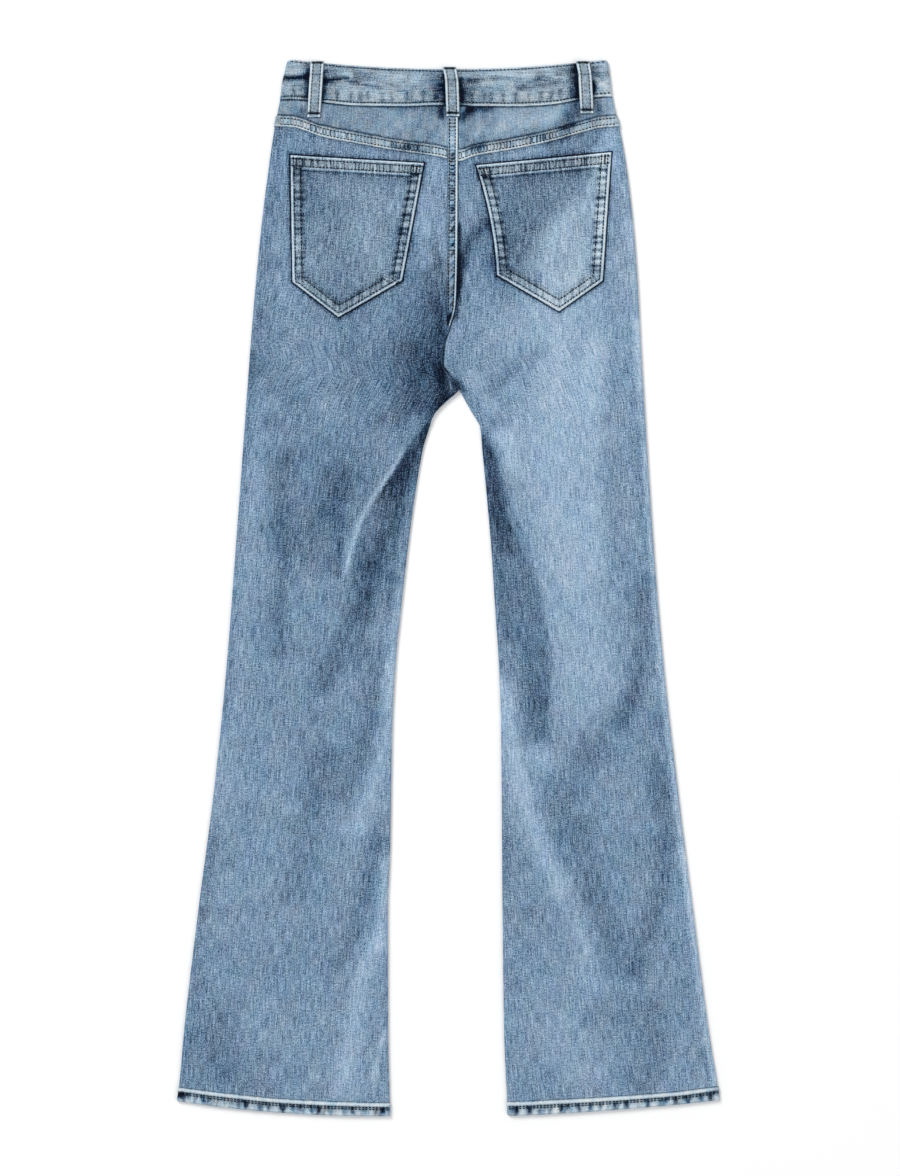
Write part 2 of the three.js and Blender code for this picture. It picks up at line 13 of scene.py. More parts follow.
import bpy
import numpy as np
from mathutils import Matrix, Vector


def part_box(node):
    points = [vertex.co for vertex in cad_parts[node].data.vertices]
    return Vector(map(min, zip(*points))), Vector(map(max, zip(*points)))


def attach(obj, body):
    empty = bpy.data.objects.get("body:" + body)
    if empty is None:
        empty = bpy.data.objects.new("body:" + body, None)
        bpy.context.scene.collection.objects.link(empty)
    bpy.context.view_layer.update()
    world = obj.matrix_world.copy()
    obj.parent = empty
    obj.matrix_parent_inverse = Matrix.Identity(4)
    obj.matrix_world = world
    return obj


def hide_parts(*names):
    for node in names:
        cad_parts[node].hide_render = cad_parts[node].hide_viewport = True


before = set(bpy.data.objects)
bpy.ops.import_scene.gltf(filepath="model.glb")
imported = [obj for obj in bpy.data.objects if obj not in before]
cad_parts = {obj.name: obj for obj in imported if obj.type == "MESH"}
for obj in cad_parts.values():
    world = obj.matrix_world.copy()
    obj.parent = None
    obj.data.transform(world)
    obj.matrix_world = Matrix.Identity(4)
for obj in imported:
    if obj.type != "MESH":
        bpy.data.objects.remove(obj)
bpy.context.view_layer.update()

# %% [markdown]
# ## Sizes
# The names and sizes are those of the solids, so that both come out on the same lines. The
# button's box tells where the pattern lies in the frame.

# %% Sizes of the cut
CLOTH = 1.2
DOUBLE = 2.0
SEAM_GAP = 0.3
HALF_GAP = SEAM_GAP / 2
STEP_UP = 0.5
TURN = 4
BUTT_TURN = 2
BUTT_DIP = 0.6
SIDE_SEAM_Z = 2.35
CORNER = 5
HALF_WAIST = 162
BAND_HEIGHT = 38
FLY_X = 14
CROTCH_DOWN = 338
FELL_START = 59.5
FELL_END = 262
FELL_WIDTH = 11
FELL_LEFT = -2.4
YOKE_FELL_WIDTH = 12.5
LOOP_WIDTH = 14
POCKET_HEM = 15


def table(names, *rows):
    """Rows with named columns."""
    return [dict(zip(names.split(), row)) for row in rows]


OUTSEAM = table(
    "down left right",
    (0, -163, 161), (20, -169, 163.5), (42, -172.5, 167.5), (72, -178.5, 174.5),
    (113, -184.5, 181.5), (174, -192, 188.5), (235, -198, 193), (296, -203, 196),
    (378, -209, 201), (500, -218, 209), (623, -227.5, 219.5), (745, -240, 233.5),
    (868, -256, 249), (990, -270.5, 265), (1045, -275.5, 274), (1080, -281, 280),
)
INSEAM = table(
    "down left right",
    (CROTCH_DOWN, 10.4, 10.4), (365, -16.3, 25.8), (375, -19.5, 31.6), (398, -26.5, 33.7),
    (439, -33.7, 37.7), (500, -42, 43), (562, -49, 47), (623, -55, 51), (684, -58, 53),
    (806, -60, 54), (868, -62.5, 54.5), (990, -62, 56), (1080, -60, 60),
)
SEAT_SEAM = table(
    "down x",
    (0, 9.8), (200, 9), (250, 7.5), (274, 1.5), (291, -4), (311, -5.5), (320, 0.7),
    (CROTCH_DOWN, 10.4),
)
CROSS_SEAMS = table(
    "x band yoke",
    (-180, 42, 56.5), (-160, 41.5, 57.5), (-130, 44.5, 67), (-90, 48, 74.8), (-50, 48.5, 82),
    (-10, 47.3, 87.5), (10, 47.5, 92), (25, 48.3, 87), (65, 48.7, 80), (105, 46.7, 71.5),
    (135, 41.5, 62.8), (155, 39, 58), (180, 37.5, 56),
)
HEMS = table(
    "x top bottom",
    (-280, 1048, 1063), (-230, 1054.5, 1070), (-170, 1060.5, 1075.5), (-110, 1063.5, 1078.5),
    (-60, 1064.5, 1079), (60, 1063.5, 1078.5), (110, 1061.5, 1076.5), (170, 1058, 1072.5),
    (230, 1053.5, 1067.5), (280, 1047, 1062),
)
LOFT = table(
    "down z",
    (0, 4.8), (60, 4.9), (120, 5.2), (330, 5.3), (450, 5.2), (620, 5), (820, 4.9),
    (1000, 4.8), (1080, 4.8),
)


def curve(rows, start, end):
    """A smooth function through a table's rows that never overshoots them."""
    at = np.array([row[start] for row in rows], float)
    value = np.array([row[end] for row in rows], float)
    slope = np.diff(value) / np.diff(at)
    before, after = np.r_[slope[0], slope], np.r_[slope, slope[-1]]
    agree = before * after > 0
    tangent = np.where(agree, 2 * before * after / np.where(agree, before + after, 1), 0)

    def read(position):
        here = np.clip(position, at[0], at[-1])
        i = np.clip(np.searchsorted(at, here, side="left") - 1, 0, len(at) - 2)
        span = at[i + 1] - at[i]
        t = (here - at[i]) / span
        a, b = tangent[i] * span, tangent[i + 1] * span
        rise = value[i + 1] - value[i]
        return value[i] + t * (a + t * (3 * rise - 2 * a - b + t * (a + b - 2 * rise)))

    return read


def smoothstep(value, low, high):
    t = np.clip((value - low) / (high - low), 0, 1)
    return t * t * (3 - 2 * t)


def ridge(distance, wide):
    """1 on a line, and less with the distance from it."""
    return np.exp(-((distance / wide) ** 2))


def rolled_off(distance, radius):
    """How far an edge rolls away, from 1 at the edge to 0 at its radius from it."""
    return 1 - np.sqrt(1 - (1 - np.clip(distance / radius, 0, 1)) ** 2)


def corner_cut(inside):
    """How much a rounded corner takes off a line, by the distance inside the piece's side."""
    within = CORNER - np.clip(inside, 0, CORNER)
    return CORNER - np.sqrt(CORNER**2 - within**2)


def level(value):
    """A straight line that keeps one value, used as the edge of a piece."""
    return lambda at: value + 0 * at


outseam_left, outseam_right = curve(OUTSEAM, "down", "left"), curve(OUTSEAM, "down", "right")
inseam_left, inseam_right = curve(INSEAM, "down", "left"), curve(INSEAM, "down", "right")
seat_seam = curve(SEAT_SEAM, "down", "x")
band_seam = curve(CROSS_SEAMS, "x", "band")
yoke_seam = curve(CROSS_SEAMS, "x", "yoke")
hem_top, hem_bottom = curve(HEMS, "x", "top"), curve(HEMS, "x", "bottom")
loft = curve(LOFT, "down", "z")


def back_waist(x):
    return 10 * (1 - (x / HALF_WAIST) ** 2)


def front_waist(x):
    return 2 + 30 * (1 - (x / HALF_WAIST) ** 2)


button_low, button_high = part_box("button")
BUTTON_AT = [(a + b) / 2 for a, b in zip(button_low, button_high)]
BUTTON_DOWN = front_waist(0) + BAND_HEIGHT / 2


def place(x, down, z):
    """Points of the pattern, in metres and in the frame."""
    across = BUTTON_AT[0] + x / 1000
    along = BUTTON_AT[1] + (BUTTON_DOWN - down) / 1000
    return np.stack(np.broadcast_arrays(across, along, z / 1000), axis=-1)


print("the middle of the waist is at", place(0, back_waist(0), loft(0)).round(4))

# %% [markdown]
# ## Folds, creases, wash and painted light
# The biggest folds are in the solids: the legs pull from the crotch, and the cloth folds over
# itself there. The sheet repeats them with a crisper step, then adds the shallower creases one by
# one. Each row names its height in millimetres ("tall"), its spread ("wide", or "left" and
# "right" where its two sides differ) and how much paler or darker it is drawn ("tone"). The
# tone is partly the wash, since a worn crease shows as colour more than as shape, and partly
# painted light and shade, such as the shadows beside the seams and in the folds.

# %% Folds of the solids
FOLDS = table(
    "wide tall drop low path",
    (20, 1.3, 1.7, 1,
     [(6, 342), (-16, 364), (-46, 398), (-66, 423), (-88, 460), (-102, 491), (-111, 527)]),
    (16, 0.9, 1.5, -1, [(31, 374), (49, 411), (61, 460), (74, 493), (84, 530), (98, 592), (98, 680)]),
    (22, -1.5, 0, 1, [(-8, 268), (-26, 300), (-16, 344)]),
    (20, 1.1, 0, 1, [(32, 276), (24, 312), (44, 356)]),
    (15, -0.9, 0, 1, [(-160, 395), (-168, 480), (-166, 590)]),
    (9, -0.8, 0, 1, [(-112, 430), (-116, 520)]),
    (13, -0.6, 0, 1, [(-62, 470), (-82, 540), (-124, 620)]),
    (12, -0.7, 0, 1, [(-78, 820), (-88, 890), (-108, 930)]),
    (14, 0.8, 0, 1, [(-70, 850), (-88, 960), (-112, 1035)]),
    (14, -0.6, 0, 1, [(52, 440), (70, 540), (88, 680)]),
    (14, 0.9, 0, 1, [(64, 700), (78, 800), (118, 930)]),
    (18, -0.8, 0, 1, [(198, 570), (190, 690), (140, 780)]),
    (18, -0.7, 0, 1, [(222, 760), (216, 860), (182, 960)]),
)
STEP_WIDTH = 2
STEP_REACH = 2.4
MOST_UP = 1.3
MOST_DOWN = 2.2

# %% Creases, washed places and painted light and shade
SEAT_CREASES = table(
    "name tall tone left right path",
    ("seat shadow", 0, -0.44, 34, 3, [(-9, 203), (0, 250), (1, 266), (-4, 290), (-6, 315), (-3, 346)]),
    ("seat shadow core", -0.5, -0.4, 13, 3, [(-9, 250), (-6, 290), (-8, 320), (-6, 348)]),
    ("seat shadow foot", 0, -0.47, 26, 16, [(-30, 300), (-36, 330), (-38, 352)]),
    ("seat crotch dark", 0, -0.6, 7, 4, [(-7, 318), (-3, 332), (2, 345)]),
    ("seat crotch tip", 0, -1.0, 5, 5, [(8, 330), (12, 338)]),
    ("seat by shadow", 0, -0.12, 8, 8, [(-26, 218), (-24, 245)]),
    ("beside left pocket", 0, 0.18, 8, 8, [(-170, 96), (-172, 125)]),
    ("seat diagonal gap", 0, 0.15, 12, 12, [(58, 346), (70, 366)]),
    ("seat strip edge", 0, -1.2, 2, 3, [(10, 170), (9.5, 200), (8.5, 240), (4, 262)]),
    ("seat strip edge upper", 0, -0.2, 2, 2, [(11, 95), (10, 160)]),
    ("seat trough right", -0.7, -0.6, 7, 7, [(37, 169), (21, 185), (14, 205), (9, 231), (3, 262)]),
    ("seat trough core", 0, -0.25, 3, 5, [(17, 190), (12, 208), (9, 231)]),
    ("seat right of trough", 0.4, -0.11, 4, 16, [(46, 190), (24, 230), (12, 282), (4, 300)]),
    ("seat diagonal", -0.6, -0.18, 10, 9, [(95, 300), (72, 316), (50, 333), (34, 350)]),
    ("seat diagonal low", 0.3, 0.25, 8, 8, [(26, 322), (32, 340), (44, 362)]),
    ("seat pale by seam", 0.3, 0.25, 9, 9, [(-30, 145), (-26, 180), (-24, 205)]),
    ("seat upper right", 0, -0.11, 10, 16, [(24, 120), (34, 150), (44, 200), (60, 240)]),
    ("seat right pale", 0, 0.07, 14, 20, [(20, 250), (30, 280), (60, 290)]),
    ("pocket gap left", 0, 0.13, 8, 8, [(-14, 95), (-16, 140), (-30, 240)]),
    ("pocket right dark", -0.3, -0.24, 34, 8, [(138, 102), (110, 140), (85, 177), (70, 212)]),
    ("pocket right dark core", 0, -0.2, 14, 12, [(88, 118), (62, 150), (54, 190)]),
    ("pocket right mouth", 0, -0.2, 8, 8, [(120, 98), (94, 104)]),
    ("pocket right corner", 0, 0.35, 6, 6, [(150, 98), (152, 112)]),
    ("pocket right inner rim", 0, 0.4, 6, 6, [(44, 140), (54, 195)]),
    ("pocket right bright", 0.3, 0.34, 7, 28, [(158, 110), (130, 150), (104, 184), (98, 214)]),
    ("pocket right middle", 0, 0.14, 12, 12, [(112, 190), (112, 206)]),
    ("band over right pocket", 0, 0.2, 12, 8, [(110, 84), (80, 94), (50, 100)]),
    ("pocket right low bright", 0, 0.3, 16, 10, [(138, 200), (128, 225)]),
    ("pocket right rim pale", 0, 0.5, 8, 6, [(156, 96), (157, 125)]),
    ("pocket right rim low", 0, 0.75, 6, 6, [(155, 150), (153, 180), (151, 204)]),
    ("yoke right dark", 0, -0.6, 8, 8, [(122, 60), (116, 76), (104, 84)]),
    ("right side upper pale", 0, 0.45, 7, 5, [(164, 20), (166, 60), (167, 104)]),
    ("right side edge", 0, 0.22, 5, 5, [(178, 130), (186, 190)]),
    ("right side upper shade", 0, -0.06, 6, 6, [(176, 110), (168, 150), (166, 190)]),
    ("yoke left shade", 0, 0.08, 20, 20, [(-92, 66), (-60, 76), (-30, 78)]),
    ("yoke middle pale", 0, 0.1, 14, 14, [(4, 62), (4, 88)]),
    ("yoke right pale", 0, 0.16, 9, 9, [(110, 58), (70, 62), (30, 68)]),
    ("left side corner", 0, -0.4, 6, 7, [(-181, 66), (-182, 82)]),
    ("left pocket shade", 0, -0.22, 40, 30, [(-150, 115), (-120, 170), (-100, 240)]),
    ("left pocket pale", 0, 0.13, 22, 22, [(-84, 160), (-88, 205)]),
    ("left side upper", 0, -0.08, 14, 12, [(-176, 80), (-184, 130), (-188, 190)]),
)
RIGHT_LEG_CREASES = table(
    "name tall tone left right path",
    ("right thigh inner spot", 0, 0.44, 12, 12, [(58, 385), (64, 410)]),
    ("right knee inner pale", 0, 0.44, 12, 12, [(92, 705), (100, 722)]),
    ("right hip bright", 0, 0.2, 14, 14, [(148, 250), (150, 300), (140, 340)]),
    ("right thigh pale", 0.3, 0.4, 42, 26, [(112, 262), (118, 330), (118, 420), (126, 520), (146, 640)]),
    ("right thigh pale core", 0, 0.07, 18, 16, [(112, 290), (112, 340), (84, 400), (96, 470)]),
    ("right thigh pale inner", 0, -0.05, 12, 12, [(50, 350), (70, 400), (84, 450)]),
    ("right thigh pale outer", 0.3, 0.26, 14, 12, [(152, 300), (147, 420), (152, 520)]),
    ("right thigh low pale", 0, -0.11, 20, 14, [(128, 560), (140, 610), (148, 650)]),
    ("right outer shade", -0.5, 0.07, 14, 6, [(172, 180), (176, 260), (180, 348), (184, 450), (192, 540)]),
    ("right outer shade low", -0.5, -0.3, 10, 9, [(195, 540), (198, 590), (192, 640), (176, 676)]),
    ("right outer rim", 0, 0.88, 5, 8,
     [(202, 400), (211, 520), (219, 620), (231, 730), (250, 870), (276, 1060)]),
    ("right outer rim upper", 0, 0.3, 9, 9, [(186, 170), (190, 236), (198, 330)]),
    ("right outer rim middle", 0, 0.55, 6, 9, [(193, 270), (197, 320), (202, 392)]),
    ("right inner core", -0.4, -0.36, 8, 8, [(36, 390), (46, 430), (52, 470), (60, 500)]),
    ("right inner dark", -0.5, -0.45, 20, 5,
     [(44, 400), (56, 449), (72, 491), (88, 540), (98, 590), (100, 640), (98, 682)]),
    ("right inner edge", 0, -0.32, 7, 7, [(44, 460), (50, 510), (55, 550), (60, 590)]),
    ("right inner streak", 0.4, 0.26, 2, 3, [(60, 458), (68, 482), (77, 506)]),
    ("right inner low", 0, -0.2, 12, 8, [(66, 540), (76, 590), (84, 635), (88, 660)]),
    ("right inner pale", 0.6, 0.46, 15, 8, [(57, 640), (66, 700), (80, 760), (100, 812), (112, 838)]),
    ("right inner pale low", 0.3, 0.26, 12, 14, [(118, 850), (130, 880), (144, 940)]),
    ("right inseam shade", 0, -0.2, 4, 4, [(54, 690), (56, 800), (57, 860)]),
    ("right outer rim low", 0, 0.35, 9, 8, [(240, 810), (254, 900), (268, 1000)]),
    ("right knee dark", -0.5, -0.23, 16, 16, [(142, 700), (124, 750), (134, 800), (150, 860), (166, 905)]),
    ("right knee left", 0, -0.18, 10, 12, [(99, 698), (104, 740), (112, 790)]),
    ("right knee outer", -0.4, -0.09, 14, 12, [(190, 640), (172, 680), (150, 712)]),
    ("right calf outer", -0.5, -0.29, 12, 9, [(211, 720), (220, 775), (222, 823), (209, 880), (190, 930)]),
    ("right calf pale mid", 0, -0.02, 14, 12, [(184, 740), (190, 800), (196, 840)]),
    ("right calf mid", -0.2, -0.07, 22, 20, [(172, 890), (178, 950), (190, 1000)]),
    ("right calf low", -0.3, -0.22, 14, 14, [(208, 968), (212, 1020), (192, 1046)]),
    ("right calf inner", -0.3, 0.01, 8, 8, [(72, 840), (80, 880), (90, 905)]),
    ("right calf inner pale", 0.3, -0.01, 3, 4, [(70, 880), (74, 910), (84, 940)]),
    ("right low pale", 0, 0.18, 26, 26, [(110, 980), (130, 1020), (150, 1040)]),
)
LEFT_LEG_CREASES = table(
    "name tall tone left right path",
    ("left seat dark", 0, -0.13, 16, 16, [(-44, 245), (-52, 285), (-60, 320)]),
    ("left hip dark", 0, -0.13, 14, 14, [(-186, 210), (-192, 270), (-190, 330)]),
    ("left seat mid pale", 0, 0.27, 22, 22, [(-130, 290), (-125, 360)]),
    ("left outer pale", 0.3, 0.22, 9, 14,
     [(-207, 340), (-212, 420), (-218, 520), (-226, 650), (-240, 760)]),
    ("left rim", 0, -0.42, 5, 5, [(-202, 300), (-209, 400), (-221, 540), (-232, 680)]),
    ("left rim low", 0, -0.15, 5, 5, [(-236, 720), (-262, 930)]),
    ("left thigh shade", 0, -0.24, 50, 50, [(-120, 300), (-115, 380), (-110, 450)]),
    ("left thigh outer shade", -0.5, -0.35, 12, 16, [(-170, 415), (-172, 450), (-173, 490)]),
    ("left thigh streak", -0.6, -0.27, 9, 7, [(-166, 505), (-172, 550), (-172, 605)]),
    ("left thigh mid", -0.3, -0.18, 20, 16, [(-112, 430), (-130, 465), (-148, 510)]),
    ("left groove", -0.4, -0.4, 3, 3, [(-111, 490), (-113, 526)]),
    ("left groove wide", -0.3, -0.18, 12, 7, [(-104, 440), (-112, 480), (-120, 520)]),
    ("left fold line", 0.6, 0.65, 3, 1.5,
     [(-47, 401), (-58, 419), (-70, 436), (-81, 454), (-91, 473), (-99, 498), (-105, 522)]),
    ("left inner core", -0.5, -0.56, 1, 17, [(-12, 360), (-31, 383), (-45, 402), (-55, 420), (-66, 438)]),
    ("left inner dark", -0.4, -0.34, 1, 24, [(-55, 421), (-66, 438), (-77, 455), (-87, 475), (-94, 500)]),
    ("left fold foot", 0, 0.25, 4, 5, [(-64, 442), (-76, 460), (-86, 482)]),
    ("left inner edge", 0, -0.3, 6, 6, [(-38, 405), (-50, 450), (-57, 510), (-62, 560)]),
    ("left inner low right", 0, -0.28, 7, 8, [(-66, 482), (-72, 520), (-81, 560), (-94, 610)]),
    ("left inner low", -0.4, -0.37, 13, 9, [(-84, 520), (-94, 564), (-112, 606), (-128, 640)]),
    ("left inner fold edge", 0, -0.2, 10, 14, [(-62, 470), (-76, 515), (-88, 560)]),
    ("left inseam pale", 0, 0.3, 5, 5, [(-50, 540), (-56, 600), (-60, 660)]),
    ("left inner mid", -0.5, -0.27, 14, 6, [(-70, 610), (-74, 640), (-80, 680), (-88, 721), (-104, 755)]),
    ("left inner pale", 0.5, 0.28, 8, 10, [(-60, 620), (-63, 700), (-80, 750), (-94, 785)]),
    ("left knee", -0.4, -0.22, 18, 18, [(-128, 715), (-142, 781), (-158, 845)]),
    ("left knee pale", 0, 0.04, 14, 10, [(-94, 780), (-100, 820), (-106, 850)]),
    ("left calf dark", -0.6, -0.2, 12, 7, [(-72, 797), (-82, 848), (-97, 896), (-112, 925)]),
    ("left calf side pale", 0.3, 0.45, 5, 6, [(-66, 820), (-69, 870), (-72, 905)]),
    ("left calf pale", 0.6, 0.39, 9, 17, [(-80, 905), (-92, 950), (-104, 1012), (-112, 1040)]),
    ("left calf low shade", 0, -0.02, 5, 5, [(-69, 925), (-73, 980)]),
    ("left calf low pale", 0.4, 0.46, 3, 3, [(-66, 992), (-78, 1040)]),
    ("left corner dark", -0.3, -0.22, 26, 24, [(-240, 985), (-226, 1025), (-205, 1042)]),
    ("left calf outer", 0, -0.05, 30, 30, [(-220, 880), (-215, 940)]),
    ("left calf mid", 0, -0.02, 20, 20, [(-160, 860), (-155, 940), (-150, 1020)]),
)
CREASES = SEAT_CREASES + RIGHT_LEG_CREASES + LEFT_LEG_CREASES


def near_path(path, x, down):
    """Distance to a path, which hand it is on (1 is the left of someone who walks it), and the
    share of the path walked at the nearest point."""
    gap = np.full(np.broadcast(x, down).shape, np.inf)
    side, share = np.ones_like(gap), np.zeros_like(gap)
    for i, ((ax, ad), (bx, bd)) in enumerate(zip(path, path[1:])):
        length = math.hypot(bx - ax, bd - ad)
        t = np.clip(((x - ax) * (bx - ax) + (down - ad) * (bd - ad)) / length**2, 0, 1)
        dx, dd = x - ax - t * (bx - ax), down - ad - t * (bd - ad)
        here = np.hypot(dx, dd)
        hand = np.where((bd - ad) * dx - (bx - ax) * dd < 0, -1, 1)
        closer = here < gap
        gap = np.where(closer, here, gap)
        side = np.where(closer, hand, side)
        share = np.where(closer, (i + t) / (len(path) - 1), share)
    return gap, side, share


def fold_height(fold, x, down):
    gap, side, share = near_path(fold["path"], x, down)
    ends = smoothstep(share, -0.12, 0.15) * (1 - smoothstep(share, 0.7, 1))
    crest = fold["tall"] * ridge(gap, fold["wide"])
    fallen = smoothstep(gap * side * fold["low"], -STEP_WIDTH / 2, STEP_WIDTH)
    step = fold["drop"] * fallen * np.exp(-gap / (fold["wide"] * STEP_REACH))
    return ends * (crest - step)


def value_noise(x, down, spacing, seed):
    """Smooth uneven heights from -1 to 1, with bumps about as wide as the spacing."""
    lattice = np.random.default_rng(seed).uniform(-1, 1, (64, 64))
    u, v = x / spacing + 31.3, down / spacing + 7.7
    i, j = np.floor(u).astype(int), np.floor(v).astype(int)
    fu, fv = smoothstep(u - i, 0, 1), smoothstep(v - j, 0, 1)

    def corner(a, b):
        return lattice[(i + a) % 64, (j + b) % 64]

    near = corner(0, 0) * (1 - fu) + corner(1, 0) * fu
    far = corner(0, 1) * (1 - fu) + corner(1, 1) * fu
    return near * (1 - fv) + far * fv


def crease(row, x, down):
    """1 along a crease, fading at its own rate on either side; every path runs down the leg."""
    gap, side, _ = near_path(row["path"], x, down)
    return ridge(gap, np.where(side > 0, row["right"], row["left"]))


def marked(rows, x, down):
    """Tone of some marks, each a path with a spread of its own."""
    return sum(row["tone"] * ridge(near_path(row["path"], x, down)[0], row["wide"]) for row in rows)


def crease_height(x, down):
    soft = smoothstep(down, 100, 190) * (1 - smoothstep(down, 1015, 1045))
    total = sum(row["tall"] * crease(row, x, down) for row in CREASES if row["tall"])
    uneven = 0.22 * value_noise(x, down, 46, 3) + 0.12 * value_noise(x, down, 17, 4)
    return soft * total + uneven * smoothstep(down, 60, 140)


def cloth_height(x, down):
    """Height of the upper side of the back over the table."""
    soft = smoothstep(down, 240, 300) * (1 - smoothstep(down, 1015, 1045))
    total = sum(fold_height(fold, x, down) for fold in FOLDS)
    most = np.where(total > 0, MOST_UP, MOST_DOWN)
    folded = soft * most * np.tanh(total / most)
    return loft(down) + folded + np.clip(crease_height(x, down), -0.8, 1.6)


def wash_and_painted_light(x, down):
    """Tone of the denim, wash and painted light and shade together: 0 is the middle blue, 1 the palest and
    -1 the darkest.
    """
    tone = sum(row["tone"] * crease(row, x, down) for row in CREASES if row["tone"])
    return tone - 0.06 + 0.06 * value_noise(x, down, 60, 5) + 0.06 * value_noise(x, down, 22, 6)


print(len(FOLDS), "folds and", len(CREASES), "creases")

# %% [markdown]
# ## From a pattern piece to a sheet
# A piece of cloth is bounded by two side edges and two lines across. Its points lie on a grid,
# with more columns where an edge turns under. Solidify then gives it its thickness. A "tone"
# attribute carries the wash and the painted light and shade, and a UV map in metres carries the
# direction of the weave.

# %% The grid of a piece
TURN_ANGLES = np.radians([0, 16, 32, 48, 64, 78])
SHARP_ANGLE = math.radians(50)


class Lay:
    """The grid of one piece: where its points are in plan, and how far its edges turn under."""

    def __init__(self, left, right, top, bottom, step, turns=(None, None), dense=None):
        def down_at(x, share):
            return top(x) + (bottom(x) - top(x)) * share

        def crossing(edge, share):
            x = edge(down_at(0.0, share))
            for _ in range(12):
                x = edge(down_at(x, share))
            return x

        middle_down = (top(0.0) + bottom(0.0)) / 2
        tall = max(abs(float(bottom(e(middle_down)) - top(e(middle_down)))) for e in (left, right))
        rows = max(3, round(tall / step) + 1)
        share = np.linspace(0, 1, rows)
        if dense:
            share = self.crowded(share, *dense)
        ends = [crossing(left, share), crossing(right, share)]
        downs = [down_at(x, share) for x in ends]
        turn = [t(d) if t else np.zeros(rows) for t, d in zip(turns, downs)]
        reach = [(BUTT_TURN + (TURN - BUTT_TURN) * a) if t else 0 * a for t, a in zip(turns, turn)]
        columns = max(3, round(float(np.max(ends[1] - ends[0])) / step) + 1)
        across = np.linspace(0, 1, columns)
        start, stop = ends[0] + reach[0], ends[1] - reach[1]
        flat = start[:, None] + (stop - start)[:, None] * across
        blocks = [self.block(flat, flat, 1, 0, 0, 0)]
        if turns[0]:
            blocks.insert(0, self.turned(ends[0], start, turn[0], 1))
        if turns[1]:
            blocks.append(self.turned(ends[1], stop, turn[1], -1, TURN_ANGLES[::-1]))
        for i, name in enumerate(("edge", "flat_x", "sine", "turn", "inward", "reach")):
            setattr(self, name, np.concatenate([b[i] for b in blocks], axis=1))
        self.share = share[:, None]
        self.down = down_at(self.flat_x, self.share)
        self.from_top = self.down - top(self.flat_x)
        self.from_bottom = bottom(self.flat_x) - self.down
        self.from_left = self.flat_x - left(self.down)
        self.from_right = right(self.down) - self.flat_x

    @staticmethod
    def crowded(share, start, stop, ratio):
        """The same number of rows, but closer together between two shares of the height."""
        fine = np.linspace(0, 1, 2001)
        dense = smoothstep(fine, start - 0.03, start) * (1 - smoothstep(fine, stop, stop + 0.03))
        weight = 1 + (ratio - 1) * dense
        walked = np.concatenate([[0], np.cumsum((weight[1:] + weight[:-1]) / 2)])
        return np.interp(share, walked / walked[-1], fine)

    @staticmethod
    def block(edge, flat_x, sine, turn, inward, reach):
        shape = flat_x.shape
        return [np.broadcast_to(part, shape) for part in (edge, flat_x, sine, turn, inward, reach)]

    @classmethod
    def turned(cls, edge, flat, turn, inward, angles=TURN_ANGLES):
        shape = (len(edge), len(angles))
        column = [np.broadcast_to(v[:, None], shape) for v in (edge, flat, turn)]
        return cls.block(column[0], column[1], np.sin(angles), column[2], inward, abs(column[1] - column[0]))

    def points(self, lift=0.0, up=1, height=cloth_height):
        """x, down and z of the sheet, lifted off the layer's outer surface."""
        flat = height(self.flat_x, self.down)
        dip = BUTT_DIP if up > 0 else 0
        seam_z = SIDE_SEAM_Z + up * HALF_GAP
        seam = (flat - up * dip) * (1 - self.turn) + seam_z * self.turn
        out = lift * self.turn
        bend = (self.reach + out) * (1 - np.sqrt(1 - self.sine**2)) - out
        turned_x = self.edge + self.inward * bend
        x = np.where(self.inward == 0, self.flat_x, turned_x)
        z = seam + up * lift * (1 - self.turn) + (flat - seam + up * out) * self.sine
        z = np.where(self.inward == 0, flat + up * lift, z)
        return x, self.down, z


# %% Mesh, wash and weave direction
sheets = []


def add_object(name, data):
    made = bpy.data.objects.new(name, data)
    bpy.context.scene.collection.objects.link(made)
    return made


def keep_shape(shape):
    """Replaces an object's mesh by what its modifiers make of it."""
    drawn = shape.data
    evaluated = shape.evaluated_get(bpy.context.evaluated_depsgraph_get())
    shape_mesh = bpy.data.meshes.new_from_object(evaluated)
    shape.modifiers.clear()
    shape.data = shape_mesh
    bpy.data.meshes.remove(drawn)
    return shape_mesh


def weave_of(x, down, z, crosswise):
    """Place on the flat cloth, in metres: along the weft and along the warp."""
    steps = np.hypot(np.diff(x, axis=1), np.diff(z, axis=1))
    across = np.concatenate([np.zeros((len(x), 1)), np.cumsum(steps, axis=1)], axis=1)
    across = across - across[:, [across.shape[1] // 2]]
    parts = (down, across) if crosswise else (across, down)
    return [part.ravel() / 1000 for part in parts]


def make_sheet(name, points, tone, material, thick=CLOTH, up=1, crosswise=False, faded=0.0):
    """A thin closed sheet from a grid of points, with its outer side up, or down if up is -1."""
    x, down, z = np.broadcast_arrays(*points)
    rows, columns = x.shape
    mesh = bpy.data.meshes.new(name)
    i, j = np.meshgrid(np.arange(rows - 1), np.arange(columns - 1), indexing="ij")
    first = (i * columns + j).ravel()
    corners = [first, first + columns, first + columns + 1, first + 1]
    faces = np.stack(corners[::up], axis=1)
    mesh.from_pydata(place(x, down, z).reshape(-1, 3), [], faces.tolist())
    for label, values in (("tone", tone), ("faded", faded)):
        attribute = mesh.attributes.new(label, "FLOAT", "POINT")
        attribute.data.foreach_set("value", np.broadcast_to(values, x.shape).ravel().astype(np.float32))
    u, v = weave_of(x, down, z, crosswise)
    loops = faces.ravel()
    uv_map = mesh.uv_layers.new(name="Cloth")
    uv_map.data.foreach_set("uv", np.stack([u[loops], v[loops]], axis=1).ravel().astype(np.float32))
    mesh.materials.append(material)
    shell = add_object(name, mesh)
    wall = shell.modifiers.new("wall", "SOLIDIFY")
    wall.thickness, wall.offset = thick / 1000, -1
    solid = keep_shape(shell)
    solid.name = name
    solid.shade_smooth()
    solid.set_sharp_from_angle(angle=SHARP_ANGLE)
    return shell


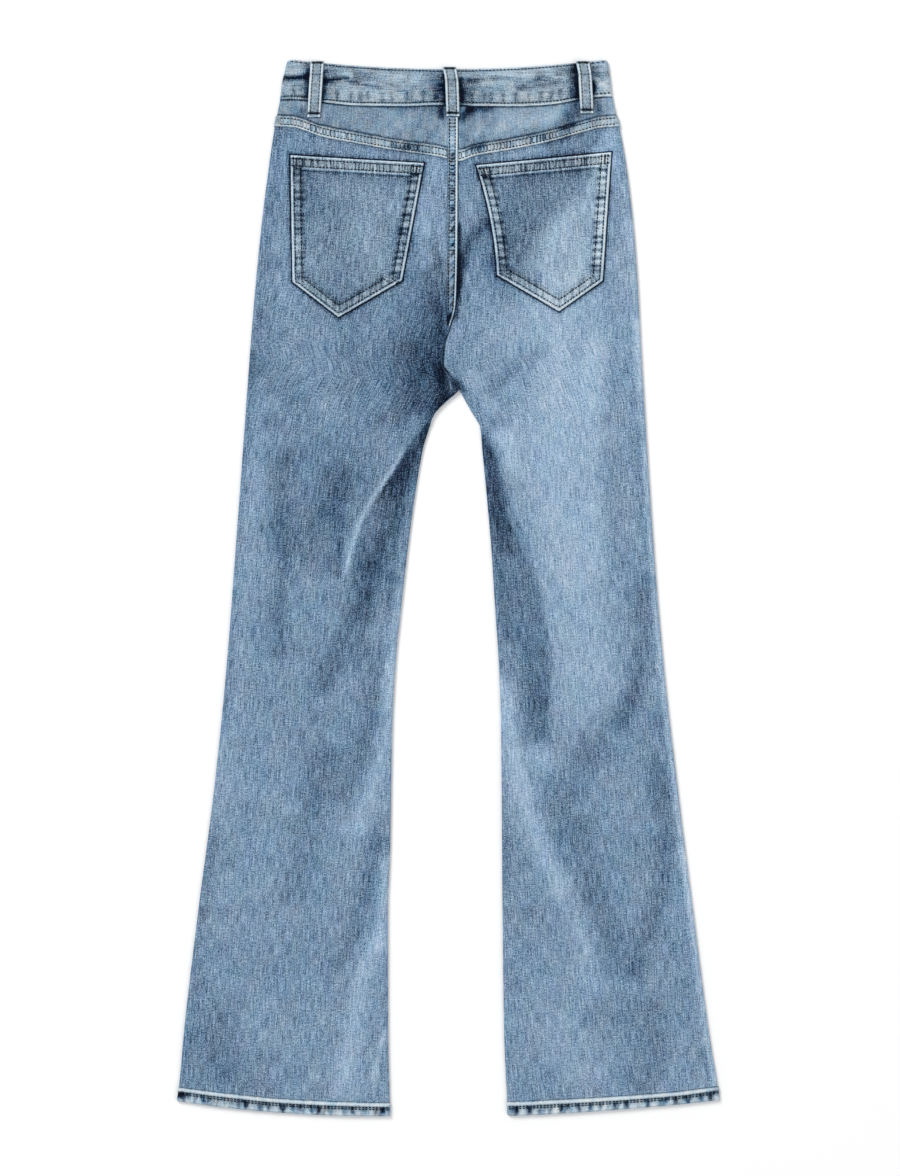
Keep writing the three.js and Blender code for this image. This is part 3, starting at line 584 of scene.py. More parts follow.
def flat_cut(lay, strip_along=None):
    """Width and length of a piece's outline as it lies, in metres, and its flat area. A strip that
    runs along the grid's rows (1) or columns (0) is given as if it were straight: its length along
    the middle and its mean width, which make a rectangle of its area."""
    x = np.where(lay.inward == 0, lay.flat_x, lay.edge) / 1000
    down = np.broadcast_to(lay.down, x.shape) / 1000
    falling = x[1:, 1:] - x[:-1, :-1], down[1:, 1:] - down[:-1, :-1]
    rising = x[:-1, 1:] - x[1:, :-1], down[:-1, 1:] - down[1:, :-1]
    area = float(np.abs(falling[0] * rising[1] - falling[1] * rising[0]).sum() / 2)
    if strip_along is None:
        return float(np.ptp(x)), float(np.ptp(down)), area
    middle = [np.take(v, v.shape[1 - strip_along] // 2, axis=1 - strip_along) for v in (x, down)]
    length = float(np.hypot(*[np.diff(v) for v in middle]).sum())
    return area / length, length, None


def declare(piece, nodes, cut):
    """Hangs a finished sheet under the root, hides its solids and prints the size of the cut that shows."""
    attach(piece, "root")
    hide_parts(*nodes)
    width, length, area = cut
    sheets.append(piece)
    share = 1 if area is None else area / (width * length)
    print(
        f"{piece.name}: {len(piece.data.polygons)} faces, cut {width * 1000:.1f} by "
        f"{length * 1000:.1f} mm, of which it fills {share:.2f}"
    )


# %% [markdown]
# ## Washed denim
# Denim has blue threads down the leg and pale ones across. Seen from a distance it is a fine
# heather with long uneven streaks where a thread is thicker. A shader group makes that once, and
# each cloth gives it its own strengths. A ramp then turns the tone, wash and painted light and
# shade alike, into one of the denim's blues, and slow noise makes the blue greyer or greener from
# place to place, as uneven dye does.

# %% Node helpers
def srgb(red, green, blue):
    """A colour as seen on a screen, 0 to 255, in the linear values that a shader uses."""
    parts = [v / 255 for v in (red, green, blue)]
    return (*[v / 12.92 if v <= 0.04045 else ((v + 0.055) / 1.055) ** 2.4 for v in parts], 1)


def add_node(tree, kind, **settings):
    """A node whose properties and inputs are set by name."""
    node = tree.nodes.new(kind)
    for name, value in settings.items():
        if hasattr(node, name):
            setattr(node, name, value)
        else:
            node.inputs[name.replace("_", " ").title()].default_value = value
    return node


def link(tree, source, target):
    tree.links.new(source, target)


def math_node(tree, operation, first, second):
    node = tree.nodes.new("ShaderNodeMath")
    node.operation = operation
    for socket, value in zip(node.inputs, (first, second)):
        if isinstance(value, (int, float)):
            socket.default_value = value
        else:
            link(tree, value, socket)
    return node.outputs[0]


def add_scaled(tree, total, part, strength):
    return math_node(tree, "ADD", total, math_node(tree, "MULTIPLY", part, strength))


def new_material(name):
    """A material, its node tree and its Principled surface."""
    material = bpy.data.materials.new(name)
    material.use_nodes = True
    tree = material.node_tree
    return material, tree, tree.nodes["Principled BSDF"]


def add_relief(tree, surface, height, strength, distance):
    """Bumps on a surface, as high as the distance in metres."""
    bump = add_node(tree, "ShaderNodeBump", strength=strength)
    bump.inputs["Distance"].default_value = distance
    link(tree, height, bump.inputs["Height"])
    link(tree, bump.outputs["Normal"], surface.inputs["Normal"])


def rubbed_colour(tree, surface, scale, detail, *stops):
    """Colours a surface between two colours by noise, and gives the noise and its place."""
    where = tree.nodes.new("ShaderNodeTexCoord").outputs["Object"]
    noise = add_node(tree, "ShaderNodeTexNoise", scale=scale, detail=detail)
    link(tree, where, noise.inputs["Vector"])
    ramp = tree.nodes.new("ShaderNodeValToRGB")
    for stop, (position, colour) in zip(ramp.color_ramp.elements, stops):
        stop.position, stop.color = position, srgb(*colour)
    link(tree, noise.outputs["Fac"], ramp.inputs["Fac"])
    link(tree, ramp.outputs["Color"], surface.inputs["Base Color"])
    return noise.outputs["Fac"], where


# %% The denim group
# The darkest stops colour the painted shadows as well as the deepest blue of the wash.
WASH_AND_SHADE = table(
    "at colour",
    (0.0, (3, 12, 30)),
    (0.16, (31, 52, 77)),
    (0.34, (80, 108, 136)),
    (0.5, (119, 146, 172)),
    (0.68, (152, 179, 205)),
    (0.84, (181, 202, 221)),
    (1.0, (208, 220, 228)),
)
TONE_SPAN = 2.6  # tones from -1.3 to 1.3 fill the ramp
TWILL_LEAN = math.radians(63)
TWILL_LINES = 310


def wash_and_shade_ramp(tree):
    ramp = tree.nodes.new("ShaderNodeValToRGB")
    stops = ramp.color_ramp.elements
    while len(stops) < len(WASH_AND_SHADE):
        stops.new(0.5)
    for stop, row in zip(stops, WASH_AND_SHADE):
        stop.position, stop.color = row["at"], srgb(*row["colour"])
    return ramp


def stretched_noise(tree, source, across, along, detail=2.0, rough=0.6):
    """Noise with spots of this size in millimetres, across and along the weave."""
    scaled = tree.nodes.new("ShaderNodeVectorMath")
    scaled.operation = "MULTIPLY"
    scaled.inputs[1].default_value = (1000 / across, 1000 / along, 1)
    link(tree, source, scaled.inputs[0])
    noise = add_node(tree, "ShaderNodeTexNoise", scale=1.0, detail=detail, roughness=rough)
    link(tree, scaled.outputs[0], noise.inputs["Vector"])
    return math_node(tree, "SUBTRACT", noise.outputs["Fac"], 0.5)


def denim_group():
    """Colour, height and roughness of denim, from its tone and the place on the flat cloth."""
    tree = bpy.data.node_groups.new("washed_denim", "ShaderNodeTree")
    face = tree.interface
    face.new_socket("Cloth", in_out="INPUT", socket_type="NodeSocketVector")
    for name in ("Tone", "Faded", "Heather", "Streaks", "Mottle", "Twill"):
        face.new_socket(name, in_out="INPUT", socket_type="NodeSocketFloat")
    for name, kind in (("Color", "Color"), ("Height", "Float"), ("Roughness", "Float")):
        face.new_socket(name, in_out="OUTPUT", socket_type=f"NodeSocket{kind}")
    given = tree.nodes.new("NodeGroupInput").outputs
    result = tree.nodes.new("NodeGroupOutput").inputs
    cloth = given["Cloth"]
    heather = stretched_noise(tree, cloth, 0.8, 1.4, 1.0, 0.6)
    slub = stretched_noise(tree, cloth, 1.1, 18.0, 2.0, 0.7)
    weft = stretched_noise(tree, cloth, 6.0, 1.1, 1.0, 0.5)
    patches = stretched_noise(tree, cloth, 7.0, 12.0, 3.0, 0.6)
    twill = add_node(tree, "ShaderNodeTexWave", scale=1.0, distortion=1.5, detail=1.0)
    turned = add_node(tree, "ShaderNodeMapping")
    turned.inputs["Rotation"].default_value = (0, 0, TWILL_LEAN)
    turned.inputs["Scale"].default_value = (TWILL_LINES,) * 3
    link(tree, cloth, turned.inputs["Vector"])
    link(tree, turned.outputs[0], twill.inputs["Vector"])
    lines = math_node(tree, "SUBTRACT", twill.outputs["Fac"], 0.5)

    total = given["Tone"]
    streaks = add_scaled(tree, slub, weft, 0.45)
    parts = {"Heather": heather, "Streaks": streaks, "Mottle": patches, "Twill": lines}
    for strength, part in parts.items():
        total = add_scaled(tree, total, part, given[strength])
    spread = math_node(tree, "ADD", math_node(tree, "DIVIDE", total, TONE_SPAN), 0.5)
    ramp = wash_and_shade_ramp(tree)
    link(tree, spread, ramp.inputs["Fac"])

    # Only pale cloth greys as it fades, and a little of its hue goes with it
    pale_only = tree.nodes.new("ShaderNodeMapRange")
    for end, value in (("From Min", 0.15), ("From Max", 0.45)):
        pale_only.inputs[end].default_value = value
    link(tree, spread, pale_only.inputs["Value"])
    fading = math_node(tree, "MULTIPLY", given["Faded"], pale_only.outputs[0])
    vivid = add_scaled(tree, 0.97, fading, -0.42)
    vivid = add_scaled(tree, vivid, stretched_noise(tree, cloth, 34.0, 60.0, 2.0, 0.6), 0.4)
    small_tint = stretched_noise(tree, cloth, 9.0, 12.0, 1.0, 0.5)
    small_tint = math_node(tree, "MULTIPLY", small_tint, given["Mottle"])
    vivid = add_scaled(tree, vivid, small_tint, 0.8)
    cast = stretched_noise(tree, cloth, 21.0, 33.0, 2.0, 0.6)
    cast = add_scaled(tree, math_node(tree, "MULTIPLY", cast, 0.04), fading, -0.02)
    tinted = tree.nodes.new("ShaderNodeHueSaturation")
    link(tree, vivid, tinted.inputs["Saturation"])
    link(tree, math_node(tree, "ADD", cast, 0.5), tinted.inputs["Hue"])
    link(tree, ramp.outputs["Color"], tinted.inputs["Color"])

    relief = add_scaled(tree, add_scaled(tree, heather, lines, 0.35), slub, 0.8)
    link(tree, tinted.outputs["Color"], result["Color"])
    link(tree, relief, result["Height"])
    link(tree, add_scaled(tree, 0.86, heather, -0.2), result["Roughness"])
    return tree


DENIM_GROUP = denim_group()


def denim(name, heather=3.0, streaks=2.4, mottle=0.35, twill=0.2):
    """A cloth finish: the denim group on a matt surface with a little sheen."""
    material, tree, surface = new_material(name)
    group = tree.nodes.new("ShaderNodeGroup")
    group.node_tree = DENIM_GROUP
    strengths = {"Heather": heather, "Streaks": streaks, "Mottle": mottle, "Twill": twill}
    for socket, value in strengths.items():
        group.inputs[socket].default_value = value
    uv = add_node(tree, "ShaderNodeUVMap", uv_map="Cloth")
    link(tree, uv.outputs["UV"], group.inputs["Cloth"])
    for label in ("tone", "faded"):
        attribute = add_node(tree, "ShaderNodeAttribute", attribute_name=label)
        link(tree, attribute.outputs["Fac"], group.inputs[label.title()])
    surface.inputs["Specular IOR Level"].default_value = 0.08
    surface.inputs["Sheen Weight"].default_value = 0.01
    link(tree, group.outputs["Color"], surface.inputs["Base Color"])
    link(tree, group.outputs["Roughness"], surface.inputs["Roughness"])
    add_relief(tree, surface, group.outputs["Height"], strength=0.35, distance=0.0005)
    return material


LEG_DENIM = denim("denim_leg")
SEAM_DENIM = denim("denim_seam", heather=2.4, streaks=1.0, mottle=1.5)
YOKE_DENIM = denim("denim_yoke", heather=2.3, streaks=1.3, mottle=1.0)
BAND_DENIM = denim("denim_band", heather=2.9, streaks=2.0, mottle=1.0)
PLAIN_DENIM = denim("denim_front", mottle=0.8)
print("materials:", LEG_DENIM.name, SEAM_DENIM.name, PLAIN_DENIM.name)

# %% [markdown]
# ## Where things lie on the cloth
# The legs have painted shade in the ditch round each pocket and under the felled seams, and are
# paler along the side seams, where the four layers of the seam allowance make a ridge that rubs.
# The pockets are five-sided patches, given by their corners.

# %% Pockets in plan
POCKETS = table(
    "name top_left top_right low_left tip low_right bow",
    ("pocket_left", (-162, 97.8), (-25.4, 106.1), (-159.9, 227.7), (-112.8, 263.9), (-47.9, 226.2), 0),
    ("pocket_right", (27.3, 108.4), (165.8, 94.8), (48.8, 220.7), (112.2, 258), (156.9, 226.4), 4),
)


def line_through(a, b, start=0, end=1):
    """The straight line through two points, as a function of one of their coordinates."""
    return lambda value: a[end] + (b[end] - a[end]) * (value - a[start]) / (b[start] - a[start])


class Pocket:
    """The outline of a patch pocket: its four edges as functions, and the distance inside them."""

    def __init__(self, row):
        self.name, self.tip = row["name"], row["tip"]
        self.top_down, self.low_down = row["top_left"][1], row["low_left"][1]
        self.top = line_through(row["top_left"], row["top_right"])
        straight = line_through(row["top_left"], row["low_left"], 1, 0)
        self.left = lambda down: straight(down) + row["bow"] * self.bowed(down)
        self.right = line_through(row["top_right"], row["low_right"], 1, 0)
        foot = (line_through(row["low_left"], row["tip"]), line_through(row["tip"], row["low_right"]))
        self.bottom = lambda x: np.where(x < self.tip[0], foot[0](x), foot[1](x))
        slopes = [
            (line[1][1] - line[0][1]) / (line[1][0] - line[0][0])
            for line in ((row["low_left"], row["tip"]), (row["tip"], row["low_right"]))
        ]
        self.foot_lean = [1 / math.hypot(1, s) for s in slopes]

    def bowed(self, down):
        t = np.clip((down - self.top_down) / (self.low_down - self.top_down), 0, 1)
        return 4 * t * (1 - t)

    def rim(self, x, down):
        """Distance inside the sides and foot."""
        lean = np.where(x < self.tip[0], *self.foot_lean)
        sides = np.minimum(x - self.left(down), self.right(down) - x)
        return np.minimum(sides, (self.bottom(x) - down) * lean)

    def mouth(self, x, down):
        """Distance below the mouth."""
        return down - self.top(x)

    def around(self, x, down):
        """Distance walked along the nearest edge of the rim."""
        foot = self.bottom(x) - down < np.minimum(x - self.left(down), self.right(down) - x)
        return np.where(foot, 1.2 * x + 7, down)


pockets = [Pocket(row) for row in POCKETS]


def pocket_painted_shade(x, down):
    """Painted shade on the cloth just outside the pockets, in the ditch under their raised rim."""
    shade = 0
    for pocket in pockets:
        inside = np.minimum(pocket.rim(x, down), pocket.mouth(x, down))
        shade = shade - 0.7 * ridge(np.minimum(inside, 0), 2.6) * (inside < 6)
    return shade


# %% [markdown]
# ## The legs
# Each leg is two panels, sewn at the side and inside. The back panels are the main piece of the
# picture: they carry the folds, the creases, the wash and the painted light and shade. At the
# crotch the right one lies over the left, so its edge turns under there and the left one gets
# painted shade beside it.

# %% Back panels
def fully(down):
    return np.ones_like(down)


def seat_turn(down):
    return smoothstep(down, FELL_END - 7, FELL_END + 30)


def front_turn(down):
    return smoothstep(down, CROTCH_DOWN - 16, CROTCH_DOWN + 6)


def front_seam(down):
    return FLY_X + (seat_seam(CROTCH_DOWN) - FLY_X) * np.clip(down / CROTCH_DOWN, 0, 1)


def half(side, seam, turn):
    """Left and right edges, and their turns, of the half on one side of the middle seam."""
    away = -HALF_GAP if side == "left" else HALF_GAP
    inseam = inseam_left if side == "left" else inseam_right

    def inner(down):
        return np.where(down < CROTCH_DOWN, seam(down), inseam(down)) + away

    if side == "left":
        return {"left": outseam_left, "right": inner, "turns": (fully, turn)}
    return {"left": inner, "right": outseam_right, "turns": (turn, fully)}


def moved(line, by):
    return lambda value: line(value) + by


def on_table(x, down):
    return 0 * x


def leg_tone(lay, side):
    """Tone of a back panel: wash and painted light on its creases and seams, and painted shade in the
    ditches beside what is sewn on.
    """
    x, down = lay.flat_x, lay.down
    tone = wash_and_painted_light(x, down) + pocket_painted_shade(x, down)
    outer, inner = (lay.from_left, lay.from_right)[:: 1 if side == "left" else -1]
    tone = tone + 0.12 * ridge(outer, 2.2) - 0.1 * ridge(outer - 8, 4)
    inseam_part = smoothstep(down, 540, 640)
    tone = tone + inseam_part * 0.15 * ridge(inner, 2.2)
    # Painted shade under the yoke seam's band.
    tone = tone - 0.3 * ridge(lay.from_top - YOKE_FELL_WIDTH, 3.5)
    # Painted shade beside the seat seam's band, down to where it ends.
    tone = tone - 0.9 * ridge(inner, 1.3) * (1 - smoothstep(down, FELL_END, FELL_END + 12))
    # At the crotch the left panel gets painted shade where the right one lies over it; the right one's
    # turned edge is paler.
    at_crotch = smoothstep(down, 300, 335) * (1 - smoothstep(down, 385, 420))
    if side == "left":
        tone = tone - 0.5 * at_crotch * ridge(inner, 8)
    else:
        tone = tone + 0.12 * at_crotch * ridge(inner, 2.5)
    return tone


for side in ("left", "right"):
    edges = half(side, seat_seam, seat_turn)
    lay = Lay(
        **edges, top=moved(yoke_seam, HALF_GAP), bottom=moved(hem_top, -HALF_GAP), step=2.4,
        dense=(0.17, 0.46, 1.7),
    )
    panel = make_sheet(f"denim_back_leg_{side}", lay.points(), leg_tone(lay, side), LEG_DENIM)
    declare(panel, [f"back_leg_{side}"], flat_cut(lay))

# %% Front panels
# The front lies on the table, flat, with its edges curling up to the side seams.
for side in ("left", "right"):
    edges = half(side, front_seam, front_turn)
    top, bottom = moved(front_waist, BAND_HEIGHT + HALF_GAP), moved(hem_top, -HALF_GAP)
    lay = Lay(**edges, top=top, bottom=bottom, step=6)
    points = lay.points(up=-1, height=on_table)
    tone = 0.12 * value_noise(lay.flat_x, lay.down, 50, 9)
    tone = tone + 0.25 * (ridge(lay.from_left, 3) + ridge(lay.from_right, 3))
    panel = make_sheet(f"denim_front_leg_{side}", points, tone, PLAIN_DENIM, up=-1)
    declare(panel, [f"front_leg_{side}"], flat_cut(lay))

# %% [markdown]
# ## Yokes
# The yokes are the two shaped strips between the waistband and the legs. They are stiff, so they
# stay smooth, with painted shade under the waistband's edge and beside the belt loops.

# %% Yokes
# Dark rows: painted shadows beside the belt loops and under the waistband; pale rows: wash.
YOKE_MARKS_AND_SHADOWS = table(
    "tone wide path",
    (0.15, 14, [(60, 60), (110, 56)]),
    (-0.9, 5, [(13, 60), (22, 52)]),
    (-0.6, 3, [(20, 51), (44, 51)]),
    (-0.9, 4, [(-7, 58), (-9, 50)]),
    (-0.25, 3, [(-18, 50), (-60, 50)]),
    (0.3, 8, [(2, 66), (2, 84)]),
    (-0.25, 4, [(-150, 52), (-150, 58)]),
    (0.2, 5, [(26, 76), (70, 68), (104, 60)]),
    (-0.5, 4, [(129, 46), (131, 56)]),
    (-0.5, 4, [(151, 44), (153, 52)]),
)


def yoke_tone(lay):
    x, down = lay.flat_x, lay.down
    # Painted shadow under the waistband's edge; the dark foot along the yoke seam is painted shade too.
    band_shadow = -0.9 * ridge(lay.from_top, 0.9)
    foot = -0.5 * ridge(lay.from_bottom, 1.0)
    tone = wash_and_painted_light(x, down) - 0.12 + marked(YOKE_MARKS_AND_SHADOWS, x, down)
    return tone + band_shadow + foot + 0.1 * value_noise(x, down, 18, 11)


for side in ("left", "right"):
    edges = half(side, seat_seam, seat_turn)
    top, bottom = moved(band_seam, HALF_GAP), moved(yoke_seam, -HALF_GAP)
    lay = Lay(**edges, top=top, bottom=bottom, step=1.5)
    yoke = make_sheet(
        f"denim_yoke_{side}", lay.points(0.12 * ridge(lay.from_top - 7, 4)), yoke_tone(lay),
        YOKE_DENIM, faded=0.35,
    )
    declare(yoke, [f"yoke_{side}"], flat_cut(lay))

# %% [markdown]
# ## Waistband
# The waistband is one long strip, folded double and stitched along both edges. Between the two
# rows the cloth puffs up, and it puckers at the lower row, where the wash leaves pale and dark
# ticks. Beside each belt loop the loop's shadow is painted on it in dark blue.

# %% Uneven marks along a seam
def ticks(distance, spacing, width, seed):
    """Marks from 0 to 1 at uneven places along a seam, each of its own strength."""
    draw = np.random.default_rng(seed)
    places = np.arange(-60, 60) * spacing + draw.uniform(-0.32, 0.32, 120) * spacing
    strengths = draw.uniform(0.35, 1, 120)
    nearest = np.clip(np.searchsorted(places, distance), 1, 119)
    marks = [strengths[k] * ridge(distance - places[k], width) for k in (nearest - 1, nearest)]
    return np.maximum(*marks)


# %% Back of the waistband
# The dark marks down each side of a belt loop are painted shadows of the loop; the streaks along the band
# and the pale marks are wash.
BAND_MARKS_AND_SHADOWS = table(
    "tone left right path",
    (-1.0, 2, 3, [(-5, 16), (-4, 56)]),
    (-0.7, 7, 4, [(-6, 30), (-7, 50)]),
    (-0.5, 16, 3, [(-8, 27), (-9, 33)]),
    (-1.1, 2, 2, [(11.5, 20), (12.5, 56)]),
    (-0.8, 3, 7, [(13, 34), (17, 52)]),
    (-0.4, 3, 18, [(14, 24), (18, 34)]),
    (-1.2, 3, 2, [(131, 4), (134, 56)]),
    (-0.5, 9, 1, [(130, 24), (132, 42)]),
    (-0.7, 7, 2, [(129, 8), (132, 38)]),
    (-1.1, 2, 3, [(147, 24), (148.5, 48)]),
    (-0.25, 2, 3, [(146, 6), (147.5, 24)]),
    (-1.1, 2, 3, [(-127, 13), (-130, 56)]),
    (-0.5, 2, 9, [(-125, 18), (-126, 34)]),
    (-1.3, 4.5, 2, [(-142.5, 10), (-145, 56)]),
    (-0.15, 6, 10, [(-112, 24), (-100, 28)]),
    (-1.3, 3, 3, [(-170, 19.5), (-145, 18)]),
    (-0.9, 2.4, 2.4, [(-128, 22), (-104, 19)]),
    (-0.5, 2, 2, [(-100, 24), (-70, 29)]),
    (-0.6, 2, 2, [(20, 22), (60, 19)]),
    (-0.5, 2, 3, [(70, 30), (110, 24)]),
    (-0.45, 2, 3, [(150, 17), (164, 15)]),
    (0.15, 4, 6, [(-120, 30), (-60, 36)]),
    (0.4, 5, 5, [(152, 7), (160, 7)]),
    (0.3, 4, 4, [(158, 26), (166, 38)]),
    (0.35, 6, 6, [(40, 12), (100, 10)]),
    (-0.7, 3, 3, [(-170, 40), (-150, 42)]),
)


def band_corner(x):
    """How much the rounded ends take off the waistband's top edge."""
    return corner_cut(np.minimum(x - outseam_left(0), outseam_right(0) - x))


def band_tone(lay):
    x, down, top, foot = lay.flat_x, lay.down, lay.from_top, lay.from_bottom
    marks = sum(row["tone"] * crease(row, x, down) for row in BAND_MARKS_AND_SHADOWS)
    edges = 0.35 * ridge(top - 0.6, 0.9) - 0.25 * ridge(top - 2.2, 0.9) + 0.9 * ridge(foot - 1.3, 0.9)
    # The dark line at the foot is painted shadow where the band's edge stands over the yoke.
    row = -0.2 * ridge(foot - 3.8, 0.8) - 1.1 * ridge(foot, 0.6)
    low = smoothstep(foot, 4, 6) * (1 - smoothstep(foot, 13, 17))
    blocks = 0.12 * low - 0.75 * ticks(x, 11.5, 2.4, 21) * low
    high = smoothstep(top, 4, 7) * (1 - smoothstep(top, 15, 19))
    smears = -0.4 * ticks(x + 0.3 * down, 19, 4.5, 22) * high
    level = 0.4 * value_noise(0.2 * x, down, 5, 25) * high
    return wash_and_painted_light(x, down) + 0.05 + 0.04 * high + marks + edges + row + blocks + smears + level


EDGE_ROLL = 1.6
EDGE_ROUND = 2.2


def band_lift(lay):
    top, foot = lay.from_top, lay.from_bottom
    rolled = -EDGE_ROLL * rolled_off(top, EDGE_ROUND)
    tucked = -0.5 * ridge(foot, 0.8)
    puff = 0.35 * smoothstep(foot, 4, 12) * smoothstep(top, 3, 10)
    pulled = -0.3 * ticks(lay.flat_x, 11.5, 2.4, 21) * ridge(foot - 8, 5)
    rows = -0.16 * ridge(top - 2.2, 0.9) - 0.16 * ridge(foot - 4.2, 0.9)
    return STEP_UP + rolled + tucked + puff + pulled + rows


lay = Lay(
    outseam_left, outseam_right, lambda x: back_waist(x) + band_corner(x),
    moved(band_seam, -HALF_GAP), 1.1, turns=(fully, fully),
)
band = make_sheet(
    "denim_waistband_back", lay.points(band_lift(lay)), band_tone(lay), BAND_DENIM, DOUBLE, crosswise=True,
    faded=0.6 + 0.15 * (1 - smoothstep(lay.from_bottom, 12, 18)),
)
declare(band, ["waistband_back"], flat_cut(lay, 1))

# %% Front of the waistband
for side in ("left", "right"):
    edges, turns, thick = (level(FLY_X + HALF_GAP), outseam_right), (None, fully), DOUBLE
    if side == "left":
        edges, turns, thick = (outseam_left, level(FLY_X - HALF_GAP)), (fully, None), CLOTH
    lay = Lay(*edges, front_waist, moved(front_waist, BAND_HEIGHT - HALF_GAP), 3, turns=turns)
    seat = 0.0
    if side == "left":
        from_button = np.hypot(lay.flat_x, lay.down - BUTTON_DOWN)
        seat = -1.5 * (1 - smoothstep(from_button, 9.5, 13))
    tone = 0.1 + 0.4 * (ridge(lay.from_top, 2) + ridge(lay.from_bottom, 2))
    tone = tone + 0.1 * value_noise(lay.flat_x, lay.down, 20, 24)
    band = make_sheet(
        f"denim_waistband_front_{side}", lay.points(seat, up=-1, height=on_table), tone,
        PLAIN_DENIM, thick, up=-1, crosswise=True,
    )
    declare(band, [f"waistband_front_{side}"], flat_cut(lay, 1))

# %% [markdown]
# ## Felled seams
# A felled seam wraps the edges of both pieces into each other under two rows of stitches. That
# makes a flat band with a ridge along each side. Each stitch pulls the band in a little, so that
# it looks like a ladder, and the wash makes the rungs pale.

# %% Seat seam and yoke seams
def felled(distance, width, rows, seed, along):
    """Lift and tone of a felled band, by the distance across it and the distance along it."""
    other = width - distance
    rounded = 0.75 * (1 - ridge(distance, 0.8)) * (1 - ridge(other, 0.8))
    grooves = sum(ridge(distance - row, 0.8) for row in rows)
    between = smoothstep(distance, rows[0], rows[0] + 1.2)
    between = between * (1 - smoothstep(distance, rows[1] - 1.2, rows[1]))
    worn = 1 + 0.8 * value_noise(along, 0 * along, 17, seed)
    rungs = ticks(along, 3.3, 0.75, seed) * between * worn
    lift = SEAM_GAP + 0.15 + rounded - 0.12 * grooves - 0.16 * rungs
    tone = 0.22 - 0.2 * grooves - 1.25 * rungs + 0.3 * between
    return lift, tone


def seat_left(down):
    """The band's left edge, which stays where it is when the seam curves off to the left."""
    return np.maximum(seat_seam(down) - FELL_WIDTH, FELL_LEFT)


def seat_fade(down):
    """1 along the band, and 0 where it runs out above the crotch."""
    return 1 - smoothstep(down, FELL_END - 35, FELL_END + 8)


YOKE_ROWS = (3.2, 9.4)
lay = Lay(seat_left, moved(seat_seam, -0.2), level(FELL_START), level(FELL_END + 10), 0.8)
wide = lay.from_left + lay.from_right
lift, tone = felled(lay.from_left, wide, (1.8, wide - 3.1), 31, lay.down)
slanted = ticks(lay.down + 1.1 * lay.from_left, 8.5, 2.2, 32)
slanted = slanted * smoothstep(lay.from_left, 0.2 * wide, 0.45 * wide) * smoothstep(lay.from_right, 2.5, 4)
blue_part = smoothstep(lay.down, 92, 104) * (1 - smoothstep(lay.down, 185, 210))
tone = tone + 1.5 * ridge(lay.from_right - 1.5, 0.9) - 0.8 * ridge(lay.from_left, 0.6)
# The dark line along the band's right edge and the darker lower end are painted shade, beside the pale ridge
# and where the band runs down into the crotch.
tone = tone - 1.5 * ridge(lay.from_right, 0.6) + 0.4 * ridge(lay.down - 82, 12)
tone = tone - 1.4 * slanted * smoothstep(lay.down, 86, 100) - 0.8 * smoothstep(lay.down, 256, 266)
tone = tone + 0.15 * blue_part - 0.27 + 0.5 * wash_and_painted_light(lay.flat_x, lay.down)
seam = make_sheet(
    "denim_seat_seam", lay.points(lift * (0.25 + 0.75 * seat_fade(lay.down))), tone, SEAM_DENIM, 0.5,
    faded=0.35 - 0.15 * blue_part + 0.5 * ridge(lay.from_right - 1.5, 1.2),
)
declare(seam, ["seat_seam"], flat_cut(lay, 0))

YOKE_SEAM_MARKS = table(
    "tone wide path",
    (-0.85, 5, [(-56, 89), (-46, 91)]),
    (-0.8, 6, [(-40, 91), (-24, 94)]),
    (-0.85, 6, [(116, 66), (126, 66)]),
    (-0.3, 5, [(-174, 64), (-168, 66)]),
    (-0.9, 5, [(24, 92), (32, 90)]),
    (-0.4, 8, [(78, 80), (90, 78)]),
    (-0.35, 8, [(50, 84), (58, 84)]),
    (-0.3, 10, [(-90, 82), (-70, 86)]),
    (0.5, 7, [(12, 98), (18, 100)]),
    (-0.35, 7, [(150, 66), (172, 64)]),
    (-0.8, 5, [(-182, 74), (-171, 77)]),
)
for side in ("left", "right"):
    if side == "left":
        edges = {"left": outseam_left, "right": moved(seat_left, -0.3), "turns": (fully, None)}
    else:
        edges = {"left": moved(seat_seam, 0.1), "right": outseam_right, "turns": (None, fully)}
    lay = Lay(**edges, top=moved(yoke_seam, 0.3), bottom=moved(yoke_seam, YOKE_FELL_WIDTH), step=0.8)
    seed = 33 + len(side)
    lift, tone = felled(lay.from_top, YOKE_FELL_WIDTH - 0.3, YOKE_ROWS, seed, lay.flat_x)
    marks = marked(YOKE_SEAM_MARKS, lay.flat_x, lay.down)
    # The dark lines at both edges are painted shadow: under the yoke's edge above and at the band's foot
    # below.
    tone = tone + wash_and_painted_light(lay.flat_x, lay.down) + marks - 1.2 * ridge(lay.from_top, 1.0)
    tone = tone + 0.75 * ridge(lay.from_bottom - 1.9, 1.2) - 1.0 * ridge(lay.from_bottom, 0.6)
    band = make_sheet(f"denim_yoke_seam_{side}", lay.points(lift), tone, SEAM_DENIM, 0.5, faded=0.8)
    declare(band, [f"yoke_seam_{side}"], flat_cut(lay, 1))

# %% [markdown]
# ## Back pockets
# Each pocket is a patch with its edges turned in, so that it is thicker round its rim, and with
# a deeper hem at its mouth. The outermost ridge is rubbed pale, and its foot sits in a ditch of
# unfaded blue and painted shadow, which is made as a narrow dark skirt. The rim puckers between
# its two rows of stitches.

# %% Pocket patches
SHADED_DITCH = 1.2
RIM_ROWS = (3.6, 10)
MOUTH_ROWS = (4, 11.2)


